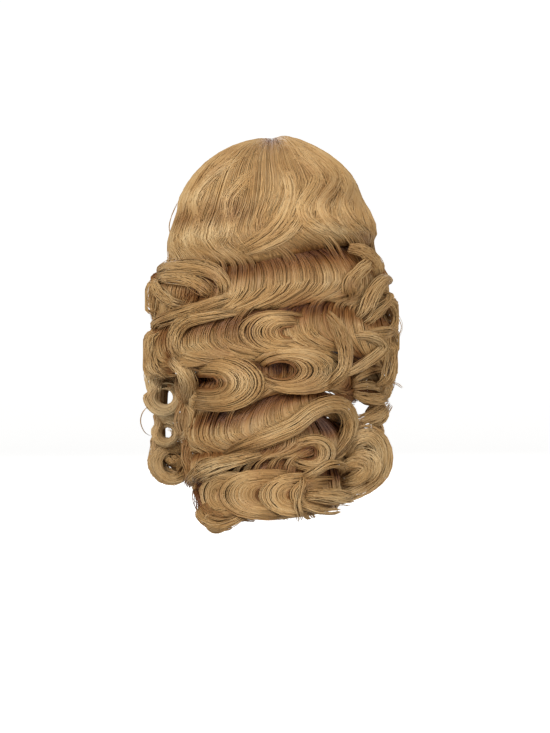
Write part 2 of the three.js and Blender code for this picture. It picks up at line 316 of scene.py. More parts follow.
TUBE_SIDES = 3  # a strand is a three-sided tube with smooth normals
STRAND_FLOW_LENGTH = 60.0
STRAND_FLOW_SPREAD = 400.0  # strands start anywhere in this stretch of the pattern
SKIN_BAKE_HEIGHT = 0.34  # the bake map's lower part holds the skin, the upper part the strands
STRAND_BAKE_START = 0.36
STRAND_CELL_FILL = (0.94, 0.9)  # share of its rectangle that a strand fills
BAKE_MARGIN = 0.005
CAP_BAND = 0.04  # share of a rectangle that is kept at each end for a cap
CAP_RADII = (0.013, 0.4)  # half sizes of a cap in its rectangle


@dataclass
class Tubes:
    """Closed tubes of equal rows and sides, either one skin or many strands.

    The vertices are (tubes, rows, sides, 3). Tone and shade are per vertex, flow holds the
    pattern coordinates of each corner as (tubes, rows, sides + 1, 2), and cell the rectangle of
    the bake map that each tube takes, as u, v, width and height.
    """

    vertices: Array
    tone: Array
    shade: Array
    flow: Array
    cell: Array

    def triangles(self) -> int:
        """Number of triangles that the tubes come to."""
        count, rows, sides, _ = self.vertices.shape
        return count * (2 * (rows - 1) * sides + 2 * (sides - 2))


@dataclass
class Strands:
    """Centre lines of strands: (strands, points, 3), with the outward side at each point.

    The tone is one value for each strand, or one for each of its points.
    """

    points: Array
    outward: Array
    radius: Array
    tone: Array
    shade: Array

    def tubes(self, rng: Rng, cells: Array) -> Tubes:
        """Carries a triangle along each centre line.

        The section's first axis is the tangent crossed with the outward side, its second axis
        is square to both, and its corners lie at equal angles round the centre line.

        Args:
            rng: Source of each strand's own place in the pattern.
            cells: The rectangle of the bake map that each strand takes.

        Returns:
            The strands as closed tubes.
        """
        count, rows, _ = self.points.shape
        tangent = unit(np.gradient(self.points, axis=1))
        side = unit(np.cross(tangent, self.outward))
        up = np.cross(side, tangent)
        angle = np.pi / 2 + np.arange(TUBE_SIDES) * 2 * np.pi / TUBE_SIDES
        ring = np.cos(angle)[:, None] * side[:, :, None] + np.sin(angle)[:, None] * up[:, :, None]
        vertices = self.points[:, :, None] + self.radius[:, :, None, None] * ring
        place = np.linspace(0, 1, rows)[None, :, None]
        along = np.broadcast_to(place, (count, rows, TUBE_SIDES + 1))
        seed = np.broadcast_to(rng.uniform(0, STRAND_FLOW_SPREAD, (count, 1, 1)), along.shape)
        # The painted light of the back view is added to each strand's tone.
        tone = self.tone.reshape(count, -1) + painted_light(self.points)
        return Tubes(
            vertices,
            np.broadcast_to(tone[:, :, None], vertices.shape[:3]),
            np.broadcast_to(np.clip(self.shade, 0, 1)[:, :, None], vertices.shape[:3]),
            np.stack([seed, along * STRAND_FLOW_LENGTH], axis=-1),
            cells,
        )


def strand_cells(count: int) -> Array:
    """A rectangle of the bake map for each strand, in rows that fill the map's upper part."""
    columns = max(1, math.ceil(math.sqrt(count / 2)))
    rows = max(1, math.ceil(count / columns))
    index = np.arange(count)
    width = 1 / columns
    height = (1 - STRAND_BAKE_START) / rows
    u = (index % columns) * width
    v = STRAND_BAKE_START + (index // columns) * height
    filled = np.full((count, 2), (STRAND_CELL_FILL[0] * width, STRAND_CELL_FILL[1] * height))
    return np.column_stack([u, v, filled])


def skin(points: Array, shade: Array, across: Array, along: Array) -> Tubes:
    """One closed skin from a grid of points whose columns run right round.

    Args:
        points: The grid, (rows, sides, 3). Its first and last rows are closed by flat caps.
        shade: How dark each point lies, (rows, sides).
        across: Pattern coordinate of the corners across the strands.
        along: And along them. The two together come to (rows, sides + 1).

    Returns:
        The skin as a single tube, turned so that its faces point out.
    """
    flow = np.stack(np.broadcast_arrays(across, along), axis=-1)
    forward = np.roll(points, -1, axis=1)
    faces = np.cross(points[1:] - forward[:-1], forward[1:] - points[:-1])
    middle = (points[1:] + points[:-1] + forward[1:] + forward[:-1]) / 4
    if np.sum(faces * (middle - points.mean(axis=(0, 1)))) < 0:
        points = points[::-1]
        shade = shade[::-1]
        flow = flow[::-1]
    tone = np.zeros(points.shape[:2])
    kept = 2 * BAKE_MARGIN
    cell = np.array([[BAKE_MARGIN, BAKE_MARGIN, 1 - kept, SKIN_BAKE_HEIGHT - kept]])
    return Tubes(points[None], tone[None], shade[None], flow[None], cell)


def placed(name: str, data: bpy.types.ID) -> bpy.types.Object:
    """A new object in the scene."""
    made = bpy.data.objects.new(name, data)
    bpy.context.scene.collection.objects.link(made)
    return made


@dataclass
class MeshArrays:
    """Arrays of one mesh while its tubes are put together."""

    vertices: list[Array] = field(default_factory=list)
    corners: list[Array] = field(default_factory=list)
    sizes: list[Array] = field(default_factory=list)
    flow: list[Array] = field(default_factory=list)
    bake: list[Array] = field(default_factory=list)
    tone: list[Array] = field(default_factory=list)
    shade: list[Array] = field(default_factory=list)
    count: int = 0

    def add(self, tubes: Tubes) -> None:
        """Adds the side faces and the two end caps of every tube.

        A side face joins corner (row, side) with the next row and the next side. A cap runs
        round the first row forwards, or round the last row backwards.

        Args:
            tubes: The tubes to add.
        """
        count, rows, sides, _ = tubes.vertices.shape
        number = self.count + np.arange(count * rows * sides).reshape(count, rows, sides)
        after = np.roll(number, -1, axis=2)
        quads = np.stack([number[:, :-1], number[:, 1:], after[:, 1:], after[:, :-1]], axis=-1)
        flow = tubes.flow
        quad_flow = np.stack(
            [flow[:, :-1, :-1], flow[:, 1:, :-1], flow[:, 1:, 1:], flow[:, :-1, 1:]], axis=-2
        )
        row = np.linspace(CAP_BAND, 1 - CAP_BAND, rows)[:, None] + np.zeros(sides + 1)
        column = np.linspace(0, 1, sides + 1)[None, :] + np.zeros((rows, 1))
        place = np.stack([row, column], axis=-1)
        quad_place = np.stack(
            [place[:-1, :-1], place[1:, :-1], place[1:, 1:], place[:-1, 1:]], axis=-2
        )
        cell = tubes.cell
        self._faces(quads, quad_flow, cell, quad_place, 4)
        turn = np.arange(sides) * 2 * np.pi / sides
        disc = np.stack([np.cos(turn), np.sin(turn)], axis=-1) * CAP_RADII
        ends = ((0, 1, CAP_BAND / 2), (-1, -1, 1 - CAP_BAND / 2))
        for at_row, way, middle in ends:
            loop = number[:, at_row, ::way]
            loop_flow = flow[:, at_row, :-1][:, ::way]
            self._faces(loop, loop_flow, cell, disc + np.array([middle, 0.5]), sides)
        self.vertices.append(tubes.vertices.reshape(-1, 3))
        self.tone.append(np.ascontiguousarray(tubes.tone).ravel())
        self.shade.append(np.ascontiguousarray(tubes.shade).ravel())
        self.count += number.size

    def _faces(self, loops: Array, flow: Array, cell: Array, place: Array, size: int) -> None:
        """Adds equal faces: their vertex numbers, pattern coordinates and bake places."""
        loops = loops.reshape(len(cell), -1, size)
        place = np.broadcast_to(place.reshape(1, -1, size, 2), (*loops.shape, 2))
        bake = cell[:, None, None, :2] + cell[:, None, None, 2:] * place
        self.corners.append(loops.ravel())
        self.sizes.append(np.full(loops.shape[0] * loops.shape[1], size))
        self.flow.append(flow.reshape(-1, 2))
        self.bake.append(bake.reshape(-1, 2))

    def to_object(self, name: str, material: Material) -> bpy.types.Object:
        """Puts the arrays into a new object at the origin.

        Args:
            name: The piece's name.
            material: The finish of all its faces.

        Returns:
            The object, linked into the scene.
        """
        mesh = bpy.data.meshes.new(name)
        corners = np.concatenate(self.corners).astype(np.int32)
        sizes = np.concatenate(self.sizes)
        starts = np.concatenate([[0], np.cumsum(sizes)[:-1]]).astype(np.int32)
        mesh.vertices.add(self.count)
        metres = np.concatenate(self.vertices) * MM
        mesh.vertices.foreach_set("co", metres.astype(np.float32).ravel())
        mesh.loops.add(len(corners))
        mesh.loops.foreach_set("vertex_index", corners)
        mesh.polygons.add(len(starts))
        mesh.polygons.foreach_set("loop_start", starts)
        mesh.update(calc_edges=True)
        mesh.polygons.foreach_set("use_smooth", np.ones(len(starts), bool))
        for label, values in (("flow", self.flow), ("OFBake", self.bake)):
            layer = mesh.uv_layers.new(name=label)
            layer.uv.foreach_set("vector", np.concatenate(values).astype(np.float32).ravel())
        for label, values in (("tone", self.tone), ("shade", self.shade)):
            attribute = mesh.attributes.new(label, "FLOAT", "POINT")
            attribute.data.foreach_set("value", np.concatenate(values).astype(np.float32))
        mesh.materials.append(material)
        return placed(name, mesh)


def make_piece(
    name: str, node: str, body: Tubes, groups: list[Strands], material: Material, rng: Rng
) -> None:
    """Makes one visible piece from a skin and its strands, in place of a solid of the part.

    Args:
        name: The piece's name.
        node: The solid that it stands for.
        body: The skin under the strands.
        groups: The strands that lie on it.
        material: Its finish.
        rng: Source of the strands' places in the pattern.
    """
    arrays = MeshArrays()
    arrays.add(body)
    triangles = body.triangles()
    cells = strand_cells(sum(len(group.points) for group in groups))
    first = 0
    for strands in groups:
        last = first + len(strands.points)
        tubes = strands.tubes(rng, cells[first:last])
        arrays.add(tubes)
        triangles += tubes.triangles()
        first = last
    piece = arrays.to_object(name, material)
    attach(piece, "root")
    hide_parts(node)
    log.info("%s stands for %s: %d triangles", name, node, triangles)


# How strands gather into locks.

FLYAWAY_HEIGHT = (1.5, 5.0)  # range of how far a flyaway stands off
FLYAWAY_RADIUS = 0.5  # against that of other strands
ROOT_RADIUS = 0.7  # a strand's radius at its root, what it gains, and loses at the tip
ROOT_GAIN = 0.3
TIP_LOSS = 0.62
STRAND_SIZES = (0.7, 1.25)  # range of single strands' sizes


@dataclass(frozen=True)
class Comb:
    """How many strands a piece has, and how they gather into locks and groups of locks."""

    strands: int
    points: int = 13
    lock_width: float = 2.4  # degrees of azimuth
    overlap: float = 0.85  # a lock's half width against the space between locks
    gather: float = 0.3  # how much a lock narrows towards its end
    crown: float = 0.5  # how far a lock's middle stands above its edges
    stray: float = 0.3  # how far locks stand apart in depth
    group_stray: float = 0.65  # and how far groups of locks do
    lowest: float = -1.2
    group_size: int = 4
    radius: float = 0.5
    tone_lock: float = 0.18
    tone_group: float = 0.25
    tone_strand: float = 0.25
    flyaway: float = 0.015  # share of strands that stand off the surface
    uneven: float = 0.3  # how far locks stray sideways against the space between them
    bow_lock: float = 0.1  # how unevenly locks, groups and strands bow aside
    bow_group: float = 0.16
    bow_strand: float = 0.03
    phase_lock: float = 0.02  # and how far they run ahead or behind
    phase_group: float = 0.035
    phase_strand: float = 0.008
    strand_depth: Pair = (-0.6, 0.3)  # range of how far single strands lie out


@dataclass
class Locks:
    """A piece's strands, each with its lock, its place in the lock and its lock's own traits."""

    azimuth: Array
    place: Array
    lift: Array
    bow: Array
    phase: Array
    tone: Array
    flyaway: Array

    @classmethod
    def combed(cls, comb: Comb, span: Pair, rng: Rng) -> "Locks":
        """Deals the strands out to locks at uneven spaces over a span of azimuth.

        Args:
            comb: How the strands gather.
            span: First and last azimuth.
            rng: Source of the unevenness.

        Returns:
            One row for each strand.
        """
        count = max(1, round((span[1] - span[0]) / comb.lock_width))
        space = (span[1] - span[0]) / count
        aside = rng.uniform(-comb.uneven, comb.uneven, count)
        middle = span[0] + (np.arange(count) + 0.5 + aside) * space
        lock = np.arange(comb.strands) % count
        groups = count // comb.group_size + 2
        group = ((np.arange(count) + rng.integers(0, 2, count)) // comb.group_size)[lock]
        across = rng.uniform(-1, 1, comb.strands)

        def trait(by_lock: float, by_group: float) -> Array:
            """A random trait that a strand shares with its lock and its group."""
            return rng.normal(0, by_lock, count)[lock] + rng.normal(0, by_group, groups)[group]

        lift = trait(comb.stray, comb.group_stray)
        bow = trait(comb.bow_lock, comb.bow_group)
        phase = trait(comb.phase_lock, comb.phase_group)
        tone = trait(comb.tone_lock, comb.tone_group)
        lift = np.maximum(lift, comb.lowest) + rng.uniform(*comb.strand_depth, comb.strands)
        return cls(
            middle[lock],
            across * comb.overlap * space,
            lift + comb.crown * (1 - across**2),
            1 + bow + rng.normal(0, comb.bow_strand, comb.strands),
            phase + rng.normal(0, comb.phase_strand, comb.strands),
            tone + rng.normal(0, comb.tone_strand, comb.strands),
            rng.uniform(0, 1, comb.strands) < comb.flyaway,
        )

    def raised(self, share: Array, rng: Rng) -> Array:
        """Height of each strand above the surface along its length, flyaways standing off it."""
        count = len(self.lift)
        off = np.where(self.flyaway, rng.uniform(*FLYAWAY_HEIGHT, count), 0)[:, None]
        at = rng.uniform(0.25, 0.9, (count, 1))
        return self.lift[:, None] + off * bump(share, at, rng.uniform(0.1, 0.25, (count, 1)))

    def thinned(self, radius: Array) -> Array:
        """Radius along each strand, finer on the flyaways."""
        return radius * np.where(self.flyaway, FLYAWAY_RADIUS, 1.0)[:, None]


def smoothed(points: Array) -> Array:
    """Lines of points with each inner point drawn half way to the middle of its neighbours, twice."""
    for _ in range(2):
        inner = (points[:, :-2] + 2 * points[:, 1:-1] + points[:, 2:]) / 4
        points = np.concatenate([points[:, :1], inner, points[:, -1:]], axis=1)
    return points


def around(azimuth: Array) -> Array:
    """Level direction away from the middle at an azimuth."""
    angle = np.radians(azimuth)
    return np.stack([np.sin(angle), np.cos(angle), np.zeros_like(angle)], axis=-1)


def strand_radius(radius: float, share: Array, rng: Rng, count: int) -> Array:
    """Radius along strands: a little thinner at the root and drawn out to a fine tip."""
    profile = ROOT_RADIUS + ROOT_GAIN * smoothstep(share, 0, 0.25)
    profile = profile - TIP_LOSS * smoothstep(share, 0.8, 1.0)
    return radius * profile[None, :] * rng.uniform(*STRAND_SIZES, (count, 1))


# The wig's pieces.

POLE_SHARE = 0.03  # skins of domes begin this far from the very top, and linings that far
LINING_POLE_SHARE = 0.05


@dataclass(frozen=True)
class Crown:
    """The combed crown: an oval dome with a parting, a higher right side and one soft wave."""

    top: float = 16.0
    outline: Plan = Plan(97.0, 97.0, 119.0, 108.0)
    turn: float = 5.0
    turn_height: float = 16.0
    part_depth: float = 4.0
    part_half_width: float = 6.0
    part_end: float = 34.0
    valley_depth: float = 4.0
    valley_half_height: float = 11.0
    puff_height: float = 3.0
    puff_centre: float = -16.0
    puff_half_width: float = 20.0
    lip_lift: float = 7.0
    skin_depth: float = 1.2
    end_tuck: float = 1.5  # strands turn in this far at the edge
    front_tuck: float = 5.0  # and this much further between these azimuths and the front
    front_from: Pair = (115.0, 160.0)
    tuck_from: float = 0.85
    crest_height: float = 3.0  # a soft crest between the valley and the edge
    crest_above: float = 20.0
    part_front: float = -78.0  # where the parting reaches the hairline
    part_run: Pair = (70.0, 175.0)  # strands start further along it between these azimuths
    part_start: Pair = (0.012, 0.015)  # beside and behind its middle line
    ease: tuple[float, float, int] = (1.2, 0.2, 4)  # how a strand's places crowd towards its end
    bend_fade: Pair = (95.0, 150.0)  # strands bend aside less between these azimuths
    bend_from: Pair = (0.15, 0.4)
    bend_side: Pair = (-58.0, 38.0)  # middle and half width of the right side
    bend_out: tuple[float, ...] = (1.5, 5.0, 0.5, 0.11)  # degrees, more at the right, place, half width
    bend_back: tuple[float, ...] = (4.5, 6.0, 0.73, 0.1)
    bend_away: tuple[float, ...] = (13.0, 3.0, 0.8, 1.0)  # degrees, more at the right, from and to
    root_rise: Pair = (0.02, 0.3)  # where strands come up to their own height
    root_shade: float = 0.15
    root_radius: float = 0.7  # against the rest
    skin_shade: float = 0.1
    lining_shade: float = 0.6
    grid: tuple[int, int, int] = (150, 44, 10)  # the skin's columns, rows and rows of lining
    flow_size: Pair = (640.0, 170.0)  # of its pattern, round it and down
    laid_y: float = 100.0  # free locks are laid for a wall this far back
    bridge_run: Pair = (0.6, 0.97)  # part of a strand that leads over the edge
    bridge_rise: Pair = (0.6, 0.7)  # where it comes up
    bridge_lift: Pair = (0.3, 0.7)  # how high it lies: mean and spread
    valley: HeightCurve = HeightCurve(
        -180, 180, (-30, -34, -38, -40, -42, -48, -56, -62, -62, -60, -50, -36, -30)
    )
    lip: HeightCurve = HeightCurve(
        -180, 180, (-56, -70, -91, -92, -91, -89, -98, -106, -107, -108, -100, -76, -56)
    )
    comb: Comb = Comb(
        strands=1350, points=14, lock_width=2.2, crown=0.25, gather=0.2, stray=0.2,
        group_stray=0.4, lowest=-0.3, radius=0.42, tone_lock=0.12, tone_group=0.15,
    )

    @property
    def edge(self) -> Plan:
        """Outline of the crown's turned-in edge."""
        return self.outline.grown(-self.turn)

    @property
    def height(self) -> float:
        """Height of the dome above the cap's widest level."""
        return self.top + CAP.crown_height

    def surface(self, azimuth: Array, height: Array, pressed: Array) -> Array:
        """Point of the crown: an oval dome less a valley, an edge that turns in and a parting.

        Args:
            azimuth: Degrees round the wig.
            height: Level on the dome.
            pressed: How far below the outer form the point lies.

        Returns:
            The points.
        """
        azimuth = within_turn(azimuth)
        above = np.clip(height + CAP.crown_height, 0, self.height) / self.height
        share = np.sqrt(np.maximum(0, 1 - above**2))
        valley = self.valley_depth * bump(height, self.valley.at(azimuth), self.valley_half_height)
        crest = self.lip.at(azimuth) + self.crest_above
        valley = valley - self.crest_height * bump(height, crest, self.valley_half_height)
        edge = (self.lip.at(azimuth) + self.turn_height - height) / self.turn_height
        dent = (valley + pressed) * share + self.turn * np.clip(edge, 0, 1.3) ** 2
        point = self.outline.scaled(share).grown(-dent).point(azimuth, height)
        parting = bump(point[..., 0], 0, self.part_half_width)
        parting = parting * (1 - smoothstep(point[..., 1], 0, self.part_end))
        puff = bump(point[..., 0], self.puff_centre, self.puff_half_width)
        raised = self.puff_height * puff - self.part_depth * parting - pressed
        point[..., 2] += above * raised
        return point

    def shift(self, azimuth: Array, share: Array) -> Array:
        """How far a strand bends aside on its way down, in degrees.

        To the right at half way, back to the left over the valley and away to the right along
        the edge, most of all on the right side and not at all at the front.

        Args:
            azimuth: Azimuth of the strand.
            share: Place along it.

        Returns:
            The change of azimuth.
        """
        behind = 1 - smoothstep(np.abs(azimuth), *self.bend_fade)
        behind = behind * smoothstep(share, *self.bend_from)
        right = bump(azimuth, *self.bend_side)
        out = (self.bend_out[0] + self.bend_out[1] * right) * bump(share, *self.bend_out[2:])
        back = (self.bend_back[0] + self.bend_back[1] * right) * bump(share, *self.bend_back[2:])
        away = (self.bend_away[0] + self.bend_away[1] * right) * smoothstep(share, *self.bend_away[2:])
        return behind * (back - out - away)

    def route(self, azimuth: Array, share: Array) -> tuple[Array, Array]:
        """Azimuth and height along strands that leave the parting and reach the edge.

        Each strand is a great circle of the unit sphere that the dome is scaled from, drawn from
        its start on the parting to its end on the dome, and below the widest level it hangs
        straight down to the edge.

        Args:
            azimuth: Azimuth at which each strand ends.
            share: Place along each strand, of the same shape.

        Returns:
            Azimuth and height at each place.
        """
        gain, loss, power = self.ease
        eased = gain * share - loss * share**power
        wrapped = within_turn(azimuth)
        lip = self.lip.at(wrapped)
        end_height = (np.maximum(lip, -CAP.crown_height) + CAP.crown_height) / self.height
        level = np.sqrt(1 - end_height**2)
        turn = np.radians(azimuth)
        end = np.stack([np.sin(turn) * level, np.cos(turn) * level, end_height], axis=-1)
        along_part = smoothstep(np.abs(wrapped), *self.part_run)
        start_y = self.part_front / self.outline.front * along_part + self.part_start[1]
        start_x = self.part_start[0] * np.sign(wrapped)
        start_height = np.sqrt(np.maximum(0, 1 - start_x**2 - start_y**2))
        start = np.stack([start_x, start_y, start_height], axis=-1)
        angle = np.arccos(np.clip(np.sum(start * end, axis=-1), -1, 1))
        arc = angle * self.height
        wall = np.maximum(0, -CAP.crown_height - lip)
        travelled = eased * (arc + wall)
        turned = np.minimum(travelled / arc, 1) * angle
        mixed = np.sin(angle - turned)[..., None] * start + np.sin(turned)[..., None] * end
        sphere = mixed / np.sin(angle)[..., None]
        found = np.degrees(np.arctan2(sphere[..., 0], sphere[..., 1]))
        height = sphere[..., 2] * self.height - CAP.crown_height - np.maximum(0, travelled - arc)
        return found + self.shift(wrapped, share), height

    def skin(self) -> Tubes:
        """Closed skin: rows run from the top over the edge and back up inside, columns round it."""
        columns, rows, inner_rows = self.grid
        azimuth = np.linspace(-180, 180, columns, endpoint=False)[None, :]
        share = np.linspace(POLE_SHARE, 1, rows)[:, None]
        lip = self.lip.at(azimuth)
        shifted = azimuth + self.shift(azimuth, share)
        outer = self.surface(shifted, dome_heights(self.top, lip, share), self.skin_depth)
        end = azimuth + self.shift(azimuth, np.ones((1, 1)))
        lining = CAP.cap_wall + CAP.seat_gap
        back = np.linspace(1, LINING_POLE_SHARE, inner_rows)[:, None]
        level = dome_heights(lining, self.lip.at(end) + self.lip_lift, back)
        inner = CAP.outline(level, lining).point(end, level)
        points = np.concatenate([outer, inner])
        shade = np.full((rows + inner_rows, columns), self.lining_shade)
        shade[:rows] = self.skin_shade + darkness(outer)
        width, drop = self.flow_size
        across = np.linspace(0, width, columns + 1)[None, :]
        inner_down = drop + np.linspace(10.0, 150.0, inner_rows)
        down = np.concatenate([np.linspace(0, drop, rows), inner_down])[:, None]
        return skin(points, shade, across, down)

    def strands(self, rng: Rng) -> Strands:
        """Strands from the parting and the whorl down to the edge, gathered into locks."""
        comb = self.comb
        locks = Locks.combed(comb, (-180, 180), rng)
        share = np.linspace(0, 1, comb.points)
        end = locks.azimuth[:, None] + locks.place[:, None] * (1 - comb.gather * share)
        along = np.clip(share + locks.phase[:, None] * np.sin(np.pi * share), 0, 1.0)
        azimuth, height = self.route(end, along)
        azimuth = azimuth + (locks.bow[:, None] - 1) * self.shift(end, along)
        raised = locks.raised(share, rng) * smoothstep(share, *self.root_rise)
        tuck = self.end_tuck + self.front_tuck * smoothstep(np.abs(end), *self.front_from)
        raised = raised - tuck * smoothstep(share, self.tuck_from, 1) ** 2
        points = self.surface(azimuth, height, -raised)
        outward = unit(points - np.array([0, 0, -CAP.crown_height]))
        at_root = self.root_shade * bump(share, 0, 0.06)
        shade = at_root + darkness(points)
        radius = strand_radius(comb.radius, share, rng, comb.strands)
        radius = radius * lerp(self.root_radius, 1.0, smoothstep(share, 0, 0.4))
        return Strands(points, outward, locks.thinned(radius), locks.tone, shade)

    def laid_on(self, across: Array, down: Array, depth: Array) -> Array:
        """Points of the back view laid on the dome, a depth above it."""
        x = VIEW.x(across)
        level = (VIEW.z(down, self.laid_y) + CAP.crown_height) / self.height
        level = np.clip(level, -0.4, 0.98)
        flat = np.sqrt(np.maximum(0.01, 1 - np.maximum(level, 0) ** 2))
        aside = np.clip(x / (self.outline.left * flat), -0.96, 0.96)
        azimuth = np.degrees(np.arcsin(aside))
        return self.surface(azimuth, level * self.height - CAP.crown_height, -depth)

    def led_over(self, start: Array, share: Array, pressed: Array) -> tuple[Array, Array]:
        """Points and azimuths along strands that come to the edge."""
        azimuth, height = self.route(start + 0 * share, share + 0 * start)
        return self.surface(azimuth, height, pressed), azimuth


@dataclass(frozen=True)
class WaveTier:
    """One tier of waves: hair that leaves its root under the lip above and turns in at its own."""

    name: str
    sweep: float  # the side that its locks bow to: 1 is the wearer's left
    outline: Plan
    span: Pair
    lip: HeightCurve
    upper_outline: Plan
    upper_lip: HeightCurve
    comb: Comb
    bow: float
    tail: float  # how far a strand runs on along the lip
    side_crest: Pair  # where the crest lies at the wearer's right and left
    end_round: float
    end_thin: float
    lead_in: float = 5.0  # how far a strand comes along the lip above
    tail_from: float = 0.6
    lip_drop: float = 5.0
    crest: float = 0.7
    rise_power: float = 1.1
    gap: float = 0.8
    level_out: float = 0.9  # how nearly a strand runs level at its two ends
    end_tuck: float = 4.5  # strands turn in this far under the lip
    tuck_from: float = 0.86
    skin_depth: float = 1.3
    lip_lift: float = 7.0
    tuck: float = 11.0
    side_from: Pair = (40.0, 80.0)  # azimuths between which the crest moves to the side's
    overrun: float = 1.06  # how far strands may run on past the lip
    root_shade: float = 0.6  # strands lie in shade under the lip above, and less over these steps
    shade_run: Pair = (0.22, 0.6)
    skin_shade: float = 0.8
    skin_light: float = 0.72
    lining_shade: float = 0.55
    deep_shade: float = 0.1  # for strands that lie in, between these lifts
    deep_lifts: Pair = (-1.5, 0.5)
    crest_highlight: Pair = (0.66, 0.12)  # painted highlight runs along the crest, and less along the lip
    lip_highlight_place: Pair = (0.95, 0.08)
    lip_highlight: float = 0.8
    tone_drop: float = 0.5
    station_width: float = 2.0  # degrees of azimuth to a row of the skin
    columns: tuple[int, int] = (24, 5)  # of the wave and of its lining
    flow_width: float = 2.0  # pattern to a degree, and from root to lip
    flow_drop: float = 60.0
    bridge_run: Pair = (0.42, 0.93)
    bridge_rise: Pair = (0.42, 0.55)
    bridge_lift: Pair = (0.3, 0.9)

    @property
    def root_outline(self) -> Plan:
        """Outline at the root, inside the lip above."""
        return self.upper_outline.joined(self.outline, min).grown(-self.tuck)

    def top(self, azimuth: Array) -> Array:
        """Height of the root: a little above the lowest lip that could reach it."""
        lips = self.upper_lip.at(azimuth)
        root = self.root_outline.point(azimuth, 0)
        seat = CAP.lining(azimuth, lips)
        read = [self.upper_lip.at(self.upper_outline.azimuth_of(point)) for point in (root, seat)]
        return np.minimum.reduce([lips, *read]) + self.lip_lift - self.gap

    def inset(self, azimuth: Array) -> Array:
        """How far an azimuth lies in from the tier's ends, from 0 to 1."""
        nearest = np.minimum(azimuth - self.span[0], self.span[1] - azimuth)
        return np.clip(nearest / self.end_round, 0, 1)

    def surface(self, azimuth: Array, step: Array, pressed: Array) -> Array:
        """Point of the wave: swells from the root to the crest as a sine, then turns in.

        Args:
            azimuth: Degrees round the wig.
            step: Place between root, 0, and lip, 1.
            pressed: How far below the outer form the point lies.

        Returns:
            The points, drawn in towards the lining at the tier's ends.
        """
        sided = np.where(azimuth > 0, self.side_crest[1], self.side_crest[0])
        crest = lerp(self.crest, sided, smoothstep(np.abs(azimuth), *self.side_from))
        rise = np.sin(np.clip(step / crest, 0, 1) * np.pi / 2) ** self.rise_power
        turn_in = self.lip_drop * (np.maximum(0, step - self.crest) / (1 - self.crest)) ** 2
        outline = self.root_outline.blended(self.outline, rise).grown(-(turn_in + pressed))
        height = lerp(self.top(azimuth), self.lip.at(azimuth), step)
        hollow = hollow_depth(outline.point(azimuth, height))
        point = outline.grown(-hollow).point(azimuth, height)
        rounding = np.sqrt(1 - (1 - self.inset(azimuth)) ** 2)
        thickness = lerp(self.end_thin, 1, rounding)[..., None]
        return lerp(CAP.lining(azimuth, height), point, thickness)

    def drift(self, azimuth: Array, share: Array) -> Array:
        """Sideways run of a strand: a bow half way down, and a run along the lip at each end."""
        bowed = self.bow * np.sin(np.pi * share) - self.tail * smoothstep(share, self.tail_from, 1)
        bowed = bowed - self.lead_in * (1 - smoothstep(share, 0, 0.35))
        return self.sweep * bowed * self.inset(azimuth)

    def step(self, share: Array) -> Array:
        """Place between root and lip: a half circle, so that strands run level at both ends."""
        return lerp(share, (1 - np.cos(np.pi * share)) / 2, self.level_out)

    def skin(self) -> Tubes:
        """Closed skin: rows run along the span, and columns round the wave and its lining."""
        wide = self.span[1] - self.span[0]
        stations = max(24, round(wide / self.station_width))
        outer_columns, inner_columns = self.columns
        azimuth = np.linspace(*self.span, stations)[:, None]
        share = np.linspace(0, 1, outer_columns)[None, :]
        outer = self.surface(azimuth + self.drift(azimuth, share), self.step(share), self.skin_depth)
        end = azimuth + self.drift(azimuth, np.ones((1, 1)))
        back = np.linspace(0, 1, inner_columns)[None, :]
        bottom = self.lip.at(end) + self.lip_lift
        inside = CAP.lining(lerp(end, azimuth, back), lerp(bottom, self.top(azimuth), back))
        shade = np.full((stations, outer_columns + inner_columns), self.lining_shade)
        under_lip = self.skin_shade - self.skin_light * smoothstep(share, *self.shade_run)
        shade[:, :outer_columns] = under_lip + darkness(outer)
        width = np.linspace(0, self.flow_width * wide, stations)[:, None]
        inner_down = self.flow_drop + np.linspace(10.0, 60.0, inner_columns + 1)
        down = np.concatenate([np.linspace(0, self.flow_drop, outer_columns), inner_down])[None, :]
        points = np.concatenate([outer, inside], axis=1)
        return skin(points, np.clip(shade, 0, 1), width, down)

    def strands(self, rng: Rng) -> Strands:
        """Strands from root to lip, bowed to one side and gathered into locks."""
        comb = self.comb
        inner_span = (self.span[0] + 1.0, self.span[1] - 1.0)
        locks = Locks.combed(comb, inner_span, rng)
        share = np.linspace(0, 1, comb.points)
        gathered = 1 - comb.gather * smoothstep(share, 0, 1)
        start = locks.azimuth[:, None] + locks.place[:, None] * gathered
        azimuth = np.clip(start + self.drift(start, share) * locks.bow[:, None], *self.span)
        step = self.step(share) + locks.phase[:, None] * smoothstep(share, 0, 0.5)
        step = np.clip(step, 0, self.overrun)
        raised = locks.raised(share, rng) * smoothstep(share, 0, 0.2)
        raised = raised - self.end_tuck * smoothstep(share, self.tuck_from, 1) ** 2
        points = self.surface(azimuth, step, -raised)
        shade = self.root_shade * (1 - smoothstep(step, *self.shade_run)) + darkness(points)
        shade = shade + self.deep_shade * (1 - smoothstep(locks.lift, *self.deep_lifts))[:, None]
        # Painted highlight along the crest and, weaker, along the lip, then the whole tone lowered.
        tone = locks.tone[:, None] + bump(step, *self.crest_highlight)
        tone = tone + self.lip_highlight * bump(step, *self.lip_highlight_place) - self.tone_drop
        radius = strand_radius(comb.radius, share, rng, comb.strands)
        return Strands(points, around(azimuth), locks.thinned(radius), tone, shade)

    def led_over(self, start: Array, share: Array, pressed: Array) -> tuple[Array, Array]:
        """Points and azimuths along strands that come to the lip."""
        azimuth = np.clip(start + self.drift(start, share), *self.span)
        return self.surface(azimuth, self.step(share) + 0 * start, pressed), azimuth

